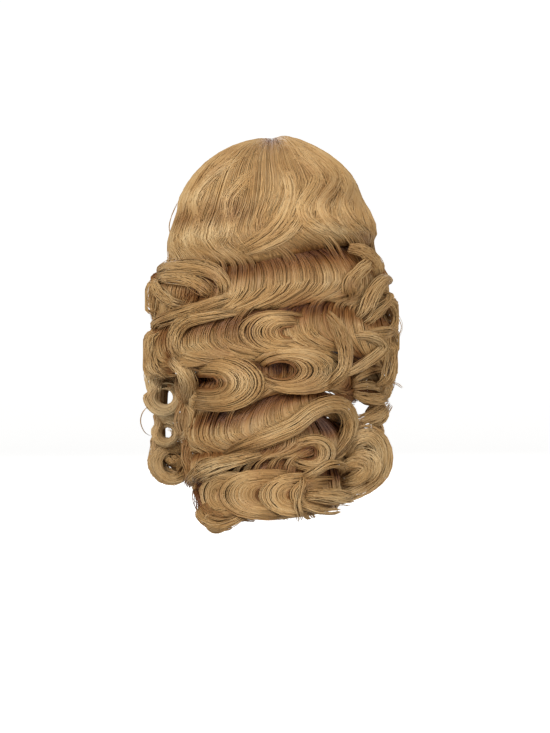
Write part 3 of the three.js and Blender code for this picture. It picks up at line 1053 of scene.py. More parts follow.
    def continued(self, upper: Array, azimuth: Array, lift: Array, rng: Rng) -> Strands:
        """Runs strands that come over the lip above on across this tier's wave.

        The sideways run is this tier's bow less what it would have had under the lip, and the
        joint is smoothed.

        Args:
            upper: The strands' points above the lip.
            azimuth: Where each strand crosses the lip.
            lift: How far each strand lies above the surface.
            rng: Source of the unevenness.

        Returns:
            The whole strands.
        """
        last = rng.uniform(*BRIDGE_LAST)
        share = np.linspace(BRIDGE_FIRST, last, BRIDGE_POINTS)[None, :]
        bowed = np.sin(np.pi * share) - np.sin(np.pi * share[:, :1])
        run = np.clip(azimuth + self.sweep * self.bow * bowed, *self.span)
        sunk = BRIDGE_SINK * smoothstep(share, last - 0.12, last)
        lower = self.surface(run, self.step(share) + 0 * azimuth, sunk - lift - BRIDGE_RISE)
        points = smoothed(np.concatenate([upper, lower], axis=1))
        outward = unit(points * LEVEL)
        along = np.linspace(0, 1, points.shape[1])
        count = len(points)
        at_lip = BRIDGE_SHADE * bump(along, *BRIDGE_SHADE_PLACE)
        shade = at_lip + BRIDGE_DARKNESS * darkness(points)
        tone = rng.normal(*BRIDGE_TONE, count)
        return Strands(points, outward, strand_radius(BRIDGE_RADIUS, along, rng, count), tone, shade)


BRIDGE_POINTS = 7  # above a ledge, and as many below it
BRIDGE_FIRST = 0.3  # share of the lower wave where a bridging strand comes down, and range of its end
BRIDGE_LAST = (0.6, 0.85)
BRIDGE_SINK = 1.5  # how deep its two ends are set in
BRIDGE_RISE = 0.6
BRIDGE_SHADE = 0.5  # how dark it is below the ledge, and where along it
BRIDGE_SHADE_PLACE = (0.62, 0.12)
BRIDGE_DARKNESS = 0.7
BRIDGE_TONE = (0.05, 0.5)
BRIDGE_RADIUS = 0.5
BRIDGE_LOCK_SIZE = 9
BRIDGE_LOCK_SPREAD = 0.9


@dataclass(frozen=True)
class BridgeSpan:
    """A stretch of a ledge, in azimuth, that strands run over."""

    first: float
    last: float
    count: int

    def strands(self, above: Crown | WaveTier, below: WaveTier, rng: Rng) -> Strands:
        """Strands, gathered in small locks, that leave a ledge and run on over the next wave.

        Args:
            above: What ends in the ledge.
            below: The tier under it.
            rng: Source of the unevenness.

        Returns:
            The strands.
        """
        locks = max(1, self.count // BRIDGE_LOCK_SIZE)
        middle = rng.uniform(self.first, self.last, locks)[np.arange(self.count) % locks]
        start = (middle + rng.normal(0, BRIDGE_LOCK_SPREAD, self.count))[:, None]
        share = np.linspace(*above.bridge_run, BRIDGE_POINTS)[None, :]
        lift = rng.normal(*above.bridge_lift, start.shape)
        rooted = BRIDGE_SINK * (1 - smoothstep(share, *above.bridge_rise))
        upper, azimuth = above.led_over(start, share, rooted - lift)
        return below.continued(upper, azimuth[:, -1:], lift, rng)


CURL_LOCK_SIZE = 6
CURL_RADIUS = 0.5  # of strands in rolled curls, and in loops
LOOP_RADIUS = 0.55
LOOP_LOCKS = 12


def by_lock(values: Array, lock: Array) -> Array:
    """Values of locks, dealt out to the strands as a column."""
    return values[lock][:, None]


@dataclass(frozen=True)
class RolledCurl:
    """A lock that hangs from under a lip and rolls up into a flat spiral."""

    name: str
    place: Triple
    facing: float  # azimuth that the ring's axle points to
    start: float
    turns: float
    radius: float
    tip: float
    lead: float
    wide: float
    thick: float
    strand_count: int = 108
    points: int = 20
    lean: float = 9.0
    lean_most: float = 0.5
    tip_share: float = 0.45
    skin_share: float = 0.9
    sway: float = 4.0  # the lead waves in and out
    sway_length: float = 44.0
    wind: float = 1.6  # how far the longest strands wind on past the tip
    shortest: float = 0.8
    grid: tuple[int, int] = (40, 12)  # the skin's rows and sides
    skin_shade: Pair = (0.25, 0.15)  # at the root, and what it gains to the tip
    twist: float = 0.7
    wave_height: float = 0.06
    reach: Pair = (0.92, 1.04)  # range of how far out locks lie against the section
    shade: float = 0.15  # for strands inside the ring, set in or on the lead
    tone: Pair = (0.8, 0.3)  # mean and spread; the high mean is partly painted light, partly the curls' own lighter tone

    @property
    def lead_share(self) -> float:
        """Share of the lock's length that hangs before it rolls up."""
        roll_length = abs(self.turns) * math.pi * (self.radius - self.thick / 2 + self.tip)
        return self.lead / (self.lead + roll_length)

    def frames(self, share: Array) -> tuple[Array, Array, Array]:
        """Centre and the two half axes of the section along the lock.

        The lead runs straight back from the start of the roll and leans in by the square of its
        share. The roll's radius and section then shrink evenly with its angle.

        Args:
            share: Place along the lock, from 0 at the root to 1 at the tip.

        Returns:
            Centre, half axis across the roll and half axis along its axle, each (..., 3).
        """
        facing = math.radians(self.facing)
        axle = np.array([math.sin(facing), math.cos(facing), 0.0])
        sideways = np.array([math.cos(facing), -math.sin(facing), 0.0])
        up = np.array([0.0, 0.0, 1.0])
        onset = self.radius - self.thick / 2
        hang = np.clip(1 - share / self.lead_share, 0, 1)
        rolled = np.maximum((share - self.lead_share) / (1 - self.lead_share), 0)
        start = math.radians(self.start)
        angle = start + rolled * self.turns * 2 * math.pi
        back_angle = start - math.copysign(math.pi / 2, self.turns)
        back = math.cos(back_angle) * sideways + math.sin(back_angle) * up
        out = np.cos(angle)[..., None] * sideways + np.sin(angle)[..., None] * up
        lean = min(self.lean, self.lean_most * self.lead)
        distance = lerp(onset, self.tip, rolled) - lean * hang**2
        taper = lerp(1.0, self.tip_share, np.minimum(rolled, 1.3))
        taper = (taper - 0.4 * smoothstep(hang, 0, 0.4))[..., None]
        centre = np.array(self.place) + out * distance[..., None]
        centre = centre + back * (self.lead * hang)[..., None]
        waved = np.sin(hang * self.lead / self.sway_length * 2 * math.pi)
        sway = self.sway * waved * smoothstep(hang, 0, 0.2)
        centre = centre - sideways * math.copysign(1, self.place[0]) * np.abs(sway)[..., None]
        return centre, out * self.thick / 2 * taper, axle * self.wide / 2 * taper

    def skin(self) -> Tubes:
        """Closed skin: an oval section, set in a little, carried along the lock."""
        rows, sides = self.grid
        share = np.linspace(0, 1, rows)
        centre, first, second = self.frames(share)
        angle = np.arange(sides) * 2 * np.pi / sides
        ring = np.cos(angle)[:, None] * first[:, None] + np.sin(angle)[:, None] * second[:, None]
        points = centre[:, None] + self.skin_share * ring
        shade = self.skin_shade[0] + self.skin_shade[1] * share
        shade = np.broadcast_to(shade[:, None], (rows, sides))
        across = np.linspace(0, 60.0, sides + 1)[None, :]
        down = (share * 150.0)[:, None]
        return skin(points, shade, across, down)

    def strands(self, rng: Rng) -> Strands:
        """Strands laid round the section in small locks, each with its own ring and a slow twist."""
        count = self.strand_count
        locks = count // CURL_LOCK_SIZE
        lock = np.arange(count) % locks
        spread = rng.normal(0, 0.16, (count, 1))
        begin = rng.uniform(0, 0.06, (count, 1))
        end = by_lock(rng.uniform(self.shortest, self.wind, locks), lock)
        end = end + rng.uniform(-0.1, 0.1, (count, 1))
        share = np.linspace(0, 1, self.points)
        place = lerp(begin, end, share[None, :])
        centre, first, second = self.frames(place)
        angle = by_lock(rng.uniform(0, 2 * np.pi, locks), lock) + 1.6 * spread
        angle = angle + by_lock(rng.normal(0, self.twist, locks), lock) * share
        phase = 1.3 * place + by_lock(rng.uniform(0, 1, locks), lock)
        reach = by_lock(rng.uniform(*self.reach, locks), lock) + 0.3 * spread
        reach = reach + self.wave_height * np.sin(2 * np.pi * phase)
        ring = np.cos(angle)[..., None] * first + np.sin(angle)[..., None] * second
        points = centre + reach[..., None] * ring
        aside = by_lock(rng.normal(0, 0.4, (locks, 3)), lock)
        points = points + aside * smoothstep(place, 0.1, 0.5)[..., None]
        outward = unit(np.cos(angle)[..., None] * unit(first) + np.sin(angle)[..., None] * unit(second))
        inner = np.clip(-np.cos(angle), 0, 1)
        tone = rng.normal(0, self.tone[1], locks)[lock] + rng.normal(*self.tone, count)
        on_lead = 1 - smoothstep(place, 0.5 * self.lead_share, self.lead_share + 0.1)
        shade = self.shade * inner + self.shade * (1.0 - reach) + self.shade * on_lead
        return Strands(points, outward, strand_radius(CURL_RADIUS, share, rng, count), tone, shade)


LOCK_FIRST = 0.08  # strands of a free lock begin before this share of it, and end after that one
LOCK_LAST = 0.88
LOCK_WAVES = (0.5, 1.1)  # range of how often its strands sway, and how far
LOCK_SWAY = 0.3
LOCK_HEIGHTS = (0.8, 1.05)
LOCK_EDGE_SHADE = 0.08
LOCK_END_SHADE = 0.15
LOCK_TONE_SPREAD = 0.35
LAID_DARKNESS = 0.3  # how much of the painted shade loops and free locks take on


@dataclass(frozen=True)
class LoopNest:
    """Strands nested round a hole, open to one side, in steps of the back view."""

    across: float  # middle of the innermost loop
    down: float
    inner: Pair  # its half width and half height
    outer_across: float  # middle of the outermost loop
    outer: Pair
    opening: float  # angle of the loops' ends from their closed side, in degrees
    tail: float  # how far the ends run on
    rise: float  # how far the loops stand above the tier
    side: float = 1.0  # 1 is open to the left of the view, -1 to the right
    peak: float = 1.0  # above 1 the loops stand highest near the outermost
    strand_count: int = 130
    points: int = 16
    sink: float = 2.0  # how far the ends dip in

    def strands(self, plan: Plan, rng: Rng) -> Strands:
        """Loops between two ovals: a mix of the inner and the outer oval at the same angle.

        Args:
            plan: Outline of the tier that the loops lie on.
            rng: Source of the unevenness.

        Returns:
            The strands.
        """
        count = self.strand_count
        along = np.linspace(1, -1, self.points)[None, :]
        lock = rng.integers(0, LOOP_LOCKS, count)
        row = np.arange(LOOP_LOCKS) / (LOOP_LOCKS - 1) + rng.normal(0, 0.04, LOOP_LOCKS)
        out = np.clip(row[lock] + rng.normal(0, 0.06, count), 0, 1)[:, None]
        turned = self.opening * along + by_lock(rng.normal(0, 6, LOOP_LOCKS), lock)
        angle = np.radians(turned + rng.normal(0, 3, (count, 1)))
        run = self.tail * smoothstep(np.abs(along), 0.6, 1)
        run = run * by_lock(rng.uniform(0.5, 1.3, LOOP_LOCKS), lock)
        width = lerp(self.inner[0], self.outer[0], out) * by_lock(rng.normal(1, 0.07, LOOP_LOCKS), lock)
        height = lerp(self.inner[1], self.outer[1], out) * by_lock(rng.normal(1, 0.06, LOOP_LOCKS), lock)
        across = lerp(self.across, self.outer_across, out) + self.side * (width * np.cos(angle) - run)
        down = self.down - height * np.sin(angle)
        swell = np.sin(np.pi * np.clip(out, 0.02, 0.92) ** self.peak) ** 0.7
        depth = self.rise * (0.2 + 0.8 * swell) + by_lock(rng.normal(0, 0.5, LOOP_LOCKS), lock)
        depth = depth + rng.normal(0, 0.3, (count, 1))
        at_end = smoothstep(np.abs(along), 0.7, 1)
        depth = lerp(depth, -self.sink, at_end)
        points = plan.laid_on(across, down, depth)
        outward = unit(points * LEVEL)
        shade = 0.5 * (1 - smoothstep(out, 0, 0.16)) + 0.2 * at_end + LAID_DARKNESS * darkness(points)
        tone = by_lock(rng.normal(-0.2, 0.22, LOOP_LOCKS), lock) + rng.normal(0, 0.25, (count, 1))
        # Painted highlight along the middle band of the loops.
        tone = tone + 0.9 * bump(out, 0.6, 0.22) * (1 - np.abs(along))
        radius = strand_radius(LOOP_RADIUS, np.linspace(0, 1, self.points), rng, count)
        return Strands(points, outward, radius, tone, shade)


@dataclass(frozen=True)
class Lock:
    """A lock that lies on the hair along a free line of the back view."""

    line: tuple[Triple, ...]  # steps across and down and half width, root to tip
    rise: float  # how far its middle stands above the hair
    strand_count: int
    depths: tuple[float, ...] = ()  # where it lies towards the view, if it hangs clear of the tiers
    # dark is painted shade over the whole lock; light is its strands' mean tone, partly their own and
    # partly painted highlight.
    dark: float = 0.0
    light: float = 0.15
    points: int = 16
    sink: float = 5.0  # how far its two ends dip in
    radius: float = 0.45

    def strands(self, base: "Plan | Crown", rng: Rng) -> Strands:
        """Strands side by side along the line, in a section like half an oval.

        Args:
            base: What the lock lies on where it has no depths of its own.
            rng: Source of the unevenness.

        Returns:
            The strands.
        """
        count = self.strand_count
        share = np.linspace(0, 1, self.points)
        begin = rng.uniform(0, LOCK_FIRST, (count, 1))
        end = rng.uniform(LOCK_LAST, 1, (count, 1))
        place = lerp(begin, end, share[None, :])
        knots = np.array(self.line, float)
        centre = spline(knots, place)
        ahead = spline(knots, np.clip(place + 0.01, 0, 1))
        behind = spline(knots, np.clip(place - 0.01, 0, 1))
        run = unit((ahead - behind)[..., :2])
        beside = rng.uniform(-1, 1, (count, 1))
        waves = rng.uniform(*LOCK_WAVES, (count, 1)) * share + rng.uniform(0, 1, (count, 1))
        sway = LOCK_SWAY * np.sin(2 * np.pi * waves)
        offset = (beside + sway) * centre[..., 2]
        across = centre[..., 0] - run[..., 1] * offset
        down = centre[..., 1] + run[..., 0] * offset
        ends = (smoothstep(share, 0, 0.18) * (1 - smoothstep(share, 0.82, 1)))[None, :]
        depth = self.rise * np.sqrt(1 - beside**2) * rng.uniform(*LOCK_HEIGHTS, (count, 1))
        depth = lerp(-self.sink, depth, ends)
        if self.depths:
            y = spline(np.array(self.depths, float), place) + depth
            points = np.stack([VIEW.x(across), y, VIEW.z(down, y)], axis=-1)
        else:
            points = base.laid_on(across, down, depth)
        outward = unit(points * LEVEL)
        shade = self.dark + LOCK_EDGE_SHADE * beside**4 + LOCK_END_SHADE * (1 - ends)
        shade = shade + LAID_DARKNESS * darkness(points)
        tone = rng.normal(self.light, LOCK_TONE_SPREAD, count)
        return Strands(points, outward, strand_radius(self.radius, share, rng, count), tone, shade)


@dataclass(frozen=True)
class WigCap:
    """The close net cap: the cap's form with an even wall, cut to the hairline."""

    columns: int = 96
    rows: int = 24

    def skin(self) -> Tubes:
        """Closed shell: rows run down outside and back up inside, columns round it."""
        azimuth = np.linspace(-180, 180, self.columns, endpoint=False)[None, :]
        rim = CAP.rim.at(np.abs(azimuth))
        share = np.linspace(POLE_SHARE, 1, self.rows)[:, None]
        outer_level = dome_heights(CAP.cap_wall, rim, share)
        inner_level = dome_heights(0, rim, share[::-1])
        outer = CAP.outline(outer_level, CAP.cap_wall).point(azimuth, outer_level)
        inner = CAP.outline(inner_level, 0).point(azimuth, inner_level)
        points = np.concatenate([outer, inner])
        across = np.linspace(0, 560.0, self.columns + 1)[None, :]
        down = np.concatenate([share, 2 - share[::-1]]) * 200.0
        return skin(points, np.zeros(points.shape[:2]), across, down)


# Finishes.


class Value:
    """A node socket that takes part in Python arithmetic: each operator adds one Math node."""

    def __init__(self, graph: "Graph", socket: bpy.types.NodeSocket) -> None:
        """Wraps a socket of a graph."""
        self.graph = graph
        self.socket = socket

    def __add__(self, other: "Value | float") -> "Value":
        """Sum."""
        return self.graph.math("ADD", self, other)

    def __sub__(self, other: "Value | float") -> "Value":
        """Difference."""
        return self.graph.math("SUBTRACT", self, other)

    def __mul__(self, other: "Value | float") -> "Value":
        """Product."""
        return self.graph.math("MULTIPLY", self, other)

    def __rsub__(self, other: float) -> "Value":
        """Difference from a number."""
        return self.graph.math("SUBTRACT", other, self)

    __radd__ = __add__
    __rmul__ = __mul__

    def clamped(self) -> "Value":
        """The value held between 0 and 1."""
        node = self.graph.node("ShaderNodeClamp", {}, {"Value": self})
        return Value(self.graph, node.outputs["Result"])


MIX_SHARE, MIX_FIRST, MIX_SECOND, MIX_RESULT = 0, 6, 7, 2  # colour sockets of a Mix node


class Graph:
    """The node tree of one material."""

    def __init__(self, name: str) -> None:
        """Starts a material with a bare shader and an output."""
        self.material = bpy.data.materials.new(name)
        self.material.use_nodes = True
        self.tree = self.material.node_tree
        self.tree.nodes.clear()
        self.shader = self.node("ShaderNodeBsdfPrincipled", {}, {})
        self.node("ShaderNodeOutputMaterial", {}, {"Surface": self.shader.outputs["BSDF"]})

    def node(self, kind: str, settings: dict[str, object], inputs: dict[str, object]) -> bpy.types.Node:
        """Adds a node.

        Args:
            kind: The node's type.
            settings: Its own settings, which are set first.
            inputs: Values or links of its sockets by name or number.

        Returns:
            The node.
        """
        made = self.tree.nodes.new(kind)
        for key, value in settings.items():
            setattr(made, key, value)
        self.feed(made, inputs)
        return made

    def feed(self, node: bpy.types.Node, inputs: dict[str, object]) -> None:
        """Links a node's sockets to values' sockets, or sets them to plain numbers and colours."""
        for key, value in inputs.items():
            if isinstance(value, Value):
                value = value.socket
            if isinstance(value, bpy.types.NodeSocket):
                self.tree.links.new(value, node.inputs[key])
            else:
                node.inputs[key].default_value = value

    def dressed(self, inputs: dict[str, object]) -> Material:
        """The material with its shader's sockets fed."""
        self.feed(self.shader, inputs)
        return self.material

    def math(self, operation: str, first: object, second: object) -> Value:
        """One Math node."""
        made = self.node("ShaderNodeMath", {"operation": operation}, {0: first, 1: second})
        return Value(self, made.outputs[0])

    def attribute(self, name: str) -> Value:
        """A value that the mesh carries."""
        return Value(self, self.node("ShaderNodeAttribute", {"attribute_name": name}, {}).outputs["Fac"])

    def mix(self, share: Value, first: object, second: object) -> bpy.types.NodeSocket:
        """A mix of two colours."""
        inputs = {MIX_SHARE: share, MIX_FIRST: first, MIX_SECOND: second}
        return self.node("ShaderNodeMix", {"data_type": "RGBA"}, inputs).outputs[MIX_RESULT]

    def stretched_noise(self, across: float, along: float, detail: float) -> Value:
        """Noise drawn out along the strands: its scale across and along the flow map."""
        flow = self.node("ShaderNodeUVMap", {"uv_map": "flow"}, {})
        turned = self.node(
            "ShaderNodeMapping", {}, {"Vector": flow.outputs["UV"], "Scale": (across, along, 1.0)}
        )
        noise = self.node(
            "ShaderNodeTexNoise",
            {"noise_dimensions": "2D"},
            {"Vector": turned.outputs["Vector"], "Scale": 1.0, "Detail": detail, "Roughness": 0.55},
        )
        return Value(self, noise.outputs[0])

    def patches(self, scale: float) -> Value:
        """Noise in soft patches over the whole object."""
        place = self.node("ShaderNodeTexCoord", {}, {})
        inputs = {"Vector": place.outputs["Object"], "Scale": scale, "Detail": 2.0}
        return Value(self, self.node("ShaderNodeTexNoise", {}, inputs).outputs[0])

    def bump_from(self, height: Value, strength: float, distance: float) -> bpy.types.NodeSocket:
        """A normal raised by a height."""
        made = self.node(
            "ShaderNodeBump", {}, {"Strength": strength, "Distance": distance, "Height": height}
        )
        return made.outputs["Normal"]


def display_colour(red: float, green: float, blue: float) -> tuple[float, float, float, float]:
    """A linear colour from display values of 0 to 255."""
    display = np.array([red, green, blue]) / 255
    linear = np.where(display <= 0.04045, display / 12.92, ((display + 0.055) / 1.055) ** 2.4)
    return (*map(float, linear), 1.0)


@dataclass(frozen=True)
class HairFinish:
    """Honey blonde hair: each strand has its own tone, and painted shade turns deep places warm brown."""

    # light serves lighter strands and painted highlight, deep serves darker strands and the first step of
    # painted shade, and shadow is the deepest painted shade.
    light: Triple = (217, 188, 140)
    middle: Triple = (184, 146, 94)
    deep: Triple = (136, 90, 45)
    shadow: Triple = (80, 40, 14)
    roughness: Pair = (0.37, 0.1)  # the least, and what the streaks add
    sheen_level: float = 0.3  # how strongly the strands mirror the lights
    fine_streaks: Triple = (0.8, 0.02, 3.0)  # scale across and along the strands, and detail
    broad_streaks: Triple = (0.22, 0.012, 1.0)
    patch_scale: float = 34.0
    patch_middle: float = 0.52
    strand_contrast: float = 0.42  # how much each of them moves the tone
    fine_contrast: float = 1.1
    broad_contrast: float = 0.6
    patch_contrast: float = 1.5
    shade_contrast: float = 1.6
    bump_strength: float = 0.6
    bump_height: float = 0.0006  # metres

    def material(self) -> Material:
        """Tone, painted light included, picks between deep, middle and light, and painted shade darkens
        it to deep, then shadow.
        """
        graph = Graph("honey_hair")
        fine = graph.stretched_noise(*self.fine_streaks)
        broad = graph.stretched_noise(*self.broad_streaks)
        # The tone attribute holds each strand's own tone and the painted light.
        tone = graph.attribute("tone") * self.strand_contrast + (fine - 0.5) * self.fine_contrast
        tone = tone + (broad - 0.5) * self.broad_contrast
        tone = tone + (graph.patches(self.patch_scale) - self.patch_middle) * self.patch_contrast
        lighter = tone.clamped()
        darker = (0.0 - tone).clamped()
        colour = graph.mix(lighter, display_colour(*self.middle), display_colour(*self.light))
        colour = graph.mix(darker, colour, display_colour(*self.deep))
        shade = graph.attribute("shade") * (1.0 + (fine - 0.5) * self.shade_contrast)
        colour = graph.mix((shade * 2.0).clamped(), colour, display_colour(*self.deep))
        colour = graph.mix((shade * 2.0 - 1.0).clamped(), colour, display_colour(*self.shadow))
        inputs = {"Base Color": colour, "Specular IOR Level": self.sheen_level}
        inputs["Roughness"] = self.roughness[0] + fine * self.roughness[1]
        inputs["Normal"] = graph.bump_from(fine, self.bump_strength, self.bump_height)
        return graph.dressed(inputs)


@dataclass(frozen=True)
class NetFinish:
    """Soft stretch net: a fine diamond mesh over rows where the hair is sewn on."""

    thread: Triple = (196, 168, 128)
    gap: Triple = (126, 94, 62)
    mesh_size: float = 2.4
    thread_width: float = 0.17  # against the mesh
    row_height: float = 9.0
    seam_width: float = 0.06  # against the row
    roughness: float = 0.9
    bump_strength: float = 0.8
    bump_height: float = 0.0004  # metres

    def material(self) -> Material:
        """Two sets of slanting threads, read from the flow map, with a seam on every row."""
        graph = Graph("cap_net")
        flow = graph.node("ShaderNodeUVMap", {"uv_map": "flow"}, {})
        parts = graph.node("ShaderNodeSeparateXYZ", {}, {"Vector": flow.outputs["UV"]})
        across = Value(graph, parts.outputs["X"]) * (1 / self.mesh_size)
        down = Value(graph, parts.outputs["Y"]) * (1 / self.mesh_size)
        threads = []
        for slanted in (across + down, across - down):
            wave = graph.math("PINGPONG", slanted, 0.5)
            threads.append(graph.math("LESS_THAN", wave, self.thread_width))
        net = graph.math("MAXIMUM", *threads)
        seam = graph.math("PINGPONG", Value(graph, parts.outputs["Y"]) * (1 / self.row_height), 0.5)
        net = graph.math("MAXIMUM", net, graph.math("LESS_THAN", seam, self.seam_width))
        colour = graph.mix(net, display_colour(*self.gap), display_colour(*self.thread))
        inputs = {"Base Color": colour, "Roughness": self.roughness - net * 0.15}
        inputs["Normal"] = graph.bump_from(net, self.bump_strength, self.bump_height)
        return graph.dressed(inputs)


@dataclass(frozen=True)
class StudioFinish:
    """Plain pale backdrop paper with a faint mottle."""

    pale: Triple = (247, 246, 244)
    paler: Triple = (252, 252, 251)
    mottle_scale: float = 0.8
    roughness: float = 0.95
    glow: float = 0.45

    def material(self) -> Material:
        """Two near whites mixed by slow noise."""
        graph = Graph("studio_paper")
        mottle = graph.patches(self.mottle_scale)
        colour = graph.mix(mottle, display_colour(*self.pale), display_colour(*self.paler))
        inputs = {"Base Color": colour, "Roughness": self.roughness}
        inputs.update({"Emission Color": WHITE, "Emission Strength": self.glow})
        return graph.dressed(inputs)


# The studio.


@dataclass(frozen=True)
class Softbox:
    """One square studio light."""

    name: str
    place: Triple  # metres
    size: float
    power: float


@dataclass(frozen=True)
class Studio:
    """A round pale backdrop, soft lights and the camera at the photograph's view. Metres."""

    floor_height: float = -0.43
    floor_radius: float = 5.0
    fillet: float = 1.5
    wall_height: float = 4.0
    world_strength: float = 0.5
    aim: Triple = (-0.003, 0.0, -0.203)
    distance: float = 3.2
    elevation: float = 1.0
    image_height: float = 0.704  # what the image spans at the object
    sensor_width: float = 36.0
    lights: tuple[Softbox, ...] = (
        Softbox("key_light", (0.9, 2.1, 0.9), 1.0, 38.0),
        Softbox("top_light", (-0.3, 0.3, 2.2), 1.0, 13.0),
        Softbox("fill_light", (-1.6, 1.5, 0.0), 1.5, 24.0),
        Softbox("low_light", (1.5, 1.5, -0.5), 0.8, 13.0),
        Softbox("front_light", (0.4, -2.2, 1.2), 1.5, 16.0),
    )

    def backdrop(self, material: Material) -> None:
        """Floor and wall in one: a profile of disc, quarter round and wall, turned round +Z."""
        turn = np.linspace(0, 2 * np.pi, 96, endpoint=False)[None, :]
        bend = np.linspace(0, np.pi / 2, 16)
        curve = self.floor_radius - self.fillet + self.fillet * np.sin(bend)
        radius = np.concatenate([[0.02], curve, [self.floor_radius]])
        rise = np.concatenate([[0.0], self.fillet * (1 - np.cos(bend)), [self.wall_height]])
        x = radius[:, None] * np.cos(turn)
        y = radius[:, None] * np.sin(turn)
        z = self.floor_height + rise[:, None] + 0 * turn
        points = np.stack([x, y, z], axis=-1)
        rows, sides, _ = points.shape
        number = np.arange(rows * sides).reshape(rows, sides)
        after = np.roll(number, -1, axis=1)
        quads = np.stack([number[:-1], after[:-1], after[1:], number[1:]], axis=-1).reshape(-1, 4)
        mesh = bpy.data.meshes.new("backdrop")
        faces = quads[:, ::-1].tolist() + [number[0].tolist()]
        mesh.from_pydata(points.reshape(-1, 3).tolist(), [], faces)
        mesh.polygons.foreach_set("use_smooth", np.ones(len(mesh.polygons), bool))
        mesh.materials.append(material)
        backdrop = placed("backdrop", mesh)
        backdrop.visible_diffuse = False
        backdrop.visible_glossy = False

    def light(self) -> None:
        """A white world and the softboxes, each turned to the object."""
        world = bpy.data.worlds.new("studio_world")
        world.use_nodes = True
        background = world.node_tree.nodes["Background"]
        background.inputs["Color"].default_value = WHITE
        background.inputs["Strength"].default_value = self.world_strength
        bpy.context.scene.world = world
        for box in self.lights:
            data = bpy.data.lights.new(box.name, "AREA")
            data.size = box.size
            data.energy = box.power
            lamp = placed(box.name, data)
            lamp.location = box.place
            towards = Vector(self.aim) - Vector(box.place)
            lamp.rotation_mode = "QUATERNION"
            lamp.rotation_quaternion = towards.to_track_quat("-Z", "Y")

    def camera(self) -> None:
        """A long lens from behind the wig, a little above the horizon."""
        data = bpy.data.cameras.new("camera")
        data.sensor_width = self.sensor_width
        data.lens = self.sensor_width * self.distance / self.image_height
        data.clip_end = 100.0
        camera = placed("camera", data)
        tilt = math.radians(self.elevation)
        back = Vector((0.0, math.cos(tilt), math.sin(tilt)))
        camera.location = Vector(self.aim) + back * self.distance
        camera.rotation_mode = "QUATERNION"
        camera.rotation_quaternion = (-back).to_track_quat("-Z", "Y")
        bpy.context.scene.camera = camera
        bpy.context.scene.view_settings.view_transform = "Standard"


# Sizes of the tiers, curls and locks.


def lip_curve(*heights: float) -> HeightCurve:
    """A tier's lip: heights every 30 degrees from -120 to 120."""
    return HeightCurve(-120, 120, heights)


WIDE_COMB = Comb(strands=960, points=11)
NARROW_COMB = Comb(strands=620, points=11)

# Sweep, outline, span, lip, bow, tail and where the crest lies at the right and left side.
TIER_ROWS = (
    (
        -1, Plan(115, 110, 119, 106), (-120, 120),
        lip_curve(-150, -160, -151, -140, -146, -153, -160, -167, -158),
        8, 13, (0.45, 0.25),
    ),
    (
        1, Plan(117, 117, 118, 106), (-116, 116),
        lip_curve(-200, -205, -200, -187, -193, -197, -208, -212, -206),
        14, 8, (0.25, 0.2),
    ),
    (
        -1, Plan(86, 86, 118, 106), (-76, 80),
        lip_curve(-243, -243, -234, -220, -228, -242, -245, -252, -252),
        13, 9, (0.5, 0.5),
    ),
    (
        1, Plan(84, 82, 117, 106), (-72, 80),
        lip_curve(-264, -264, -257, -246, -268, -280, -283, -288, -288),
        14, 10, (0.5, 0.5),
    ),
    (
        -1, Plan(83, 83, 118, 106), (-68, 76),
        lip_curve(-292, -292, -292, -288, -287, -297, -309, -312, -312),
        12, 10, (0.5, 0.5),
    ),
    (
        1, Plan(82, 82, 117, 106), (-58, 72),
        lip_curve(-334, -334, -334, -340, -343, -342, -328, -322, -322),
        11, 7, (0.5, 0.5),
    ),
)
WIDE_TIERS = 2
WIDE_ENDS = (26.0, 0.25)  # how far the ends are rounded, and how thin they get
NARROW_ENDS = (16.0, 0.5)

# Where strands run over each ledge, from the crown's edge down.
BRIDGES = (
    (BridgeSpan(22, 112, 190), BridgeSpan(-112, -62, 100), BridgeSpan(-60, 22, 100)),
    (BridgeSpan(0, 104, 210), BridgeSpan(-104, -26, 150)),
    (BridgeSpan(-48, 52, 170),),
    (BridgeSpan(20, 66, 90),),
    (BridgeSpan(16, 62, 110),),
    (BridgeSpan(0, 60, 130), BridgeSpan(-50, 0, 90)),
)

# Name, place, facing, start, turns, radius, tip, lead, wide and thick, as in the part's source.
CURLS = (
    RolledCurl("ring_curl_left_1", (102, 10.3, -232), 0, 0, -0.72, 21, 11, 19.5, 22, 13),
    RolledCurl("ring_curl_left_2", (101, -10.3, -267), 0, 0, -0.72, 15.5, 8, 54, 19, 9.5),
    RolledCurl(
        "ring_curl_left_3", (97, -32.6, -297), 0, 0, -0.72, 23.5, 12, 86.7, 25, 14,
        strand_count=150, wind=2.5,
    ),
    RolledCurl("ring_curl_right_1", (-95, 10.5, -221.7), 0, 180, 0.72, 21, 11, 19.6, 22, 13, wind=2.2),
    RolledCurl("ring_curl_right_2", (-100, -10.2, -248.4), 0, 180, 0.72, 13, 7, 44.5, 19, 8),
    RolledCurl(
        "ring_curl_right_3", (-91, -32.8, -286), 0, 180, 0.72, 20.5, 10.5, 82.9, 25, 12.5, wind=2.2
    ),
    RolledCurl(
        "roll_right", (-86.4, 45.75, -292), -36, 120, 0.78, 33, 14, 6, 30, 20,
        strand_count=180, wind=2.2, skin_share=0.94,
    ),
    RolledCurl("hem_curl", (50, 86, -346.3), 24, 40, -0.75, 13, 6.5, 4, 22, 8),
)

UPPER_OVAL = Plan(117, 115, 118, 106)
LOWER_OVAL = Plan(92, 90, 118, 106)

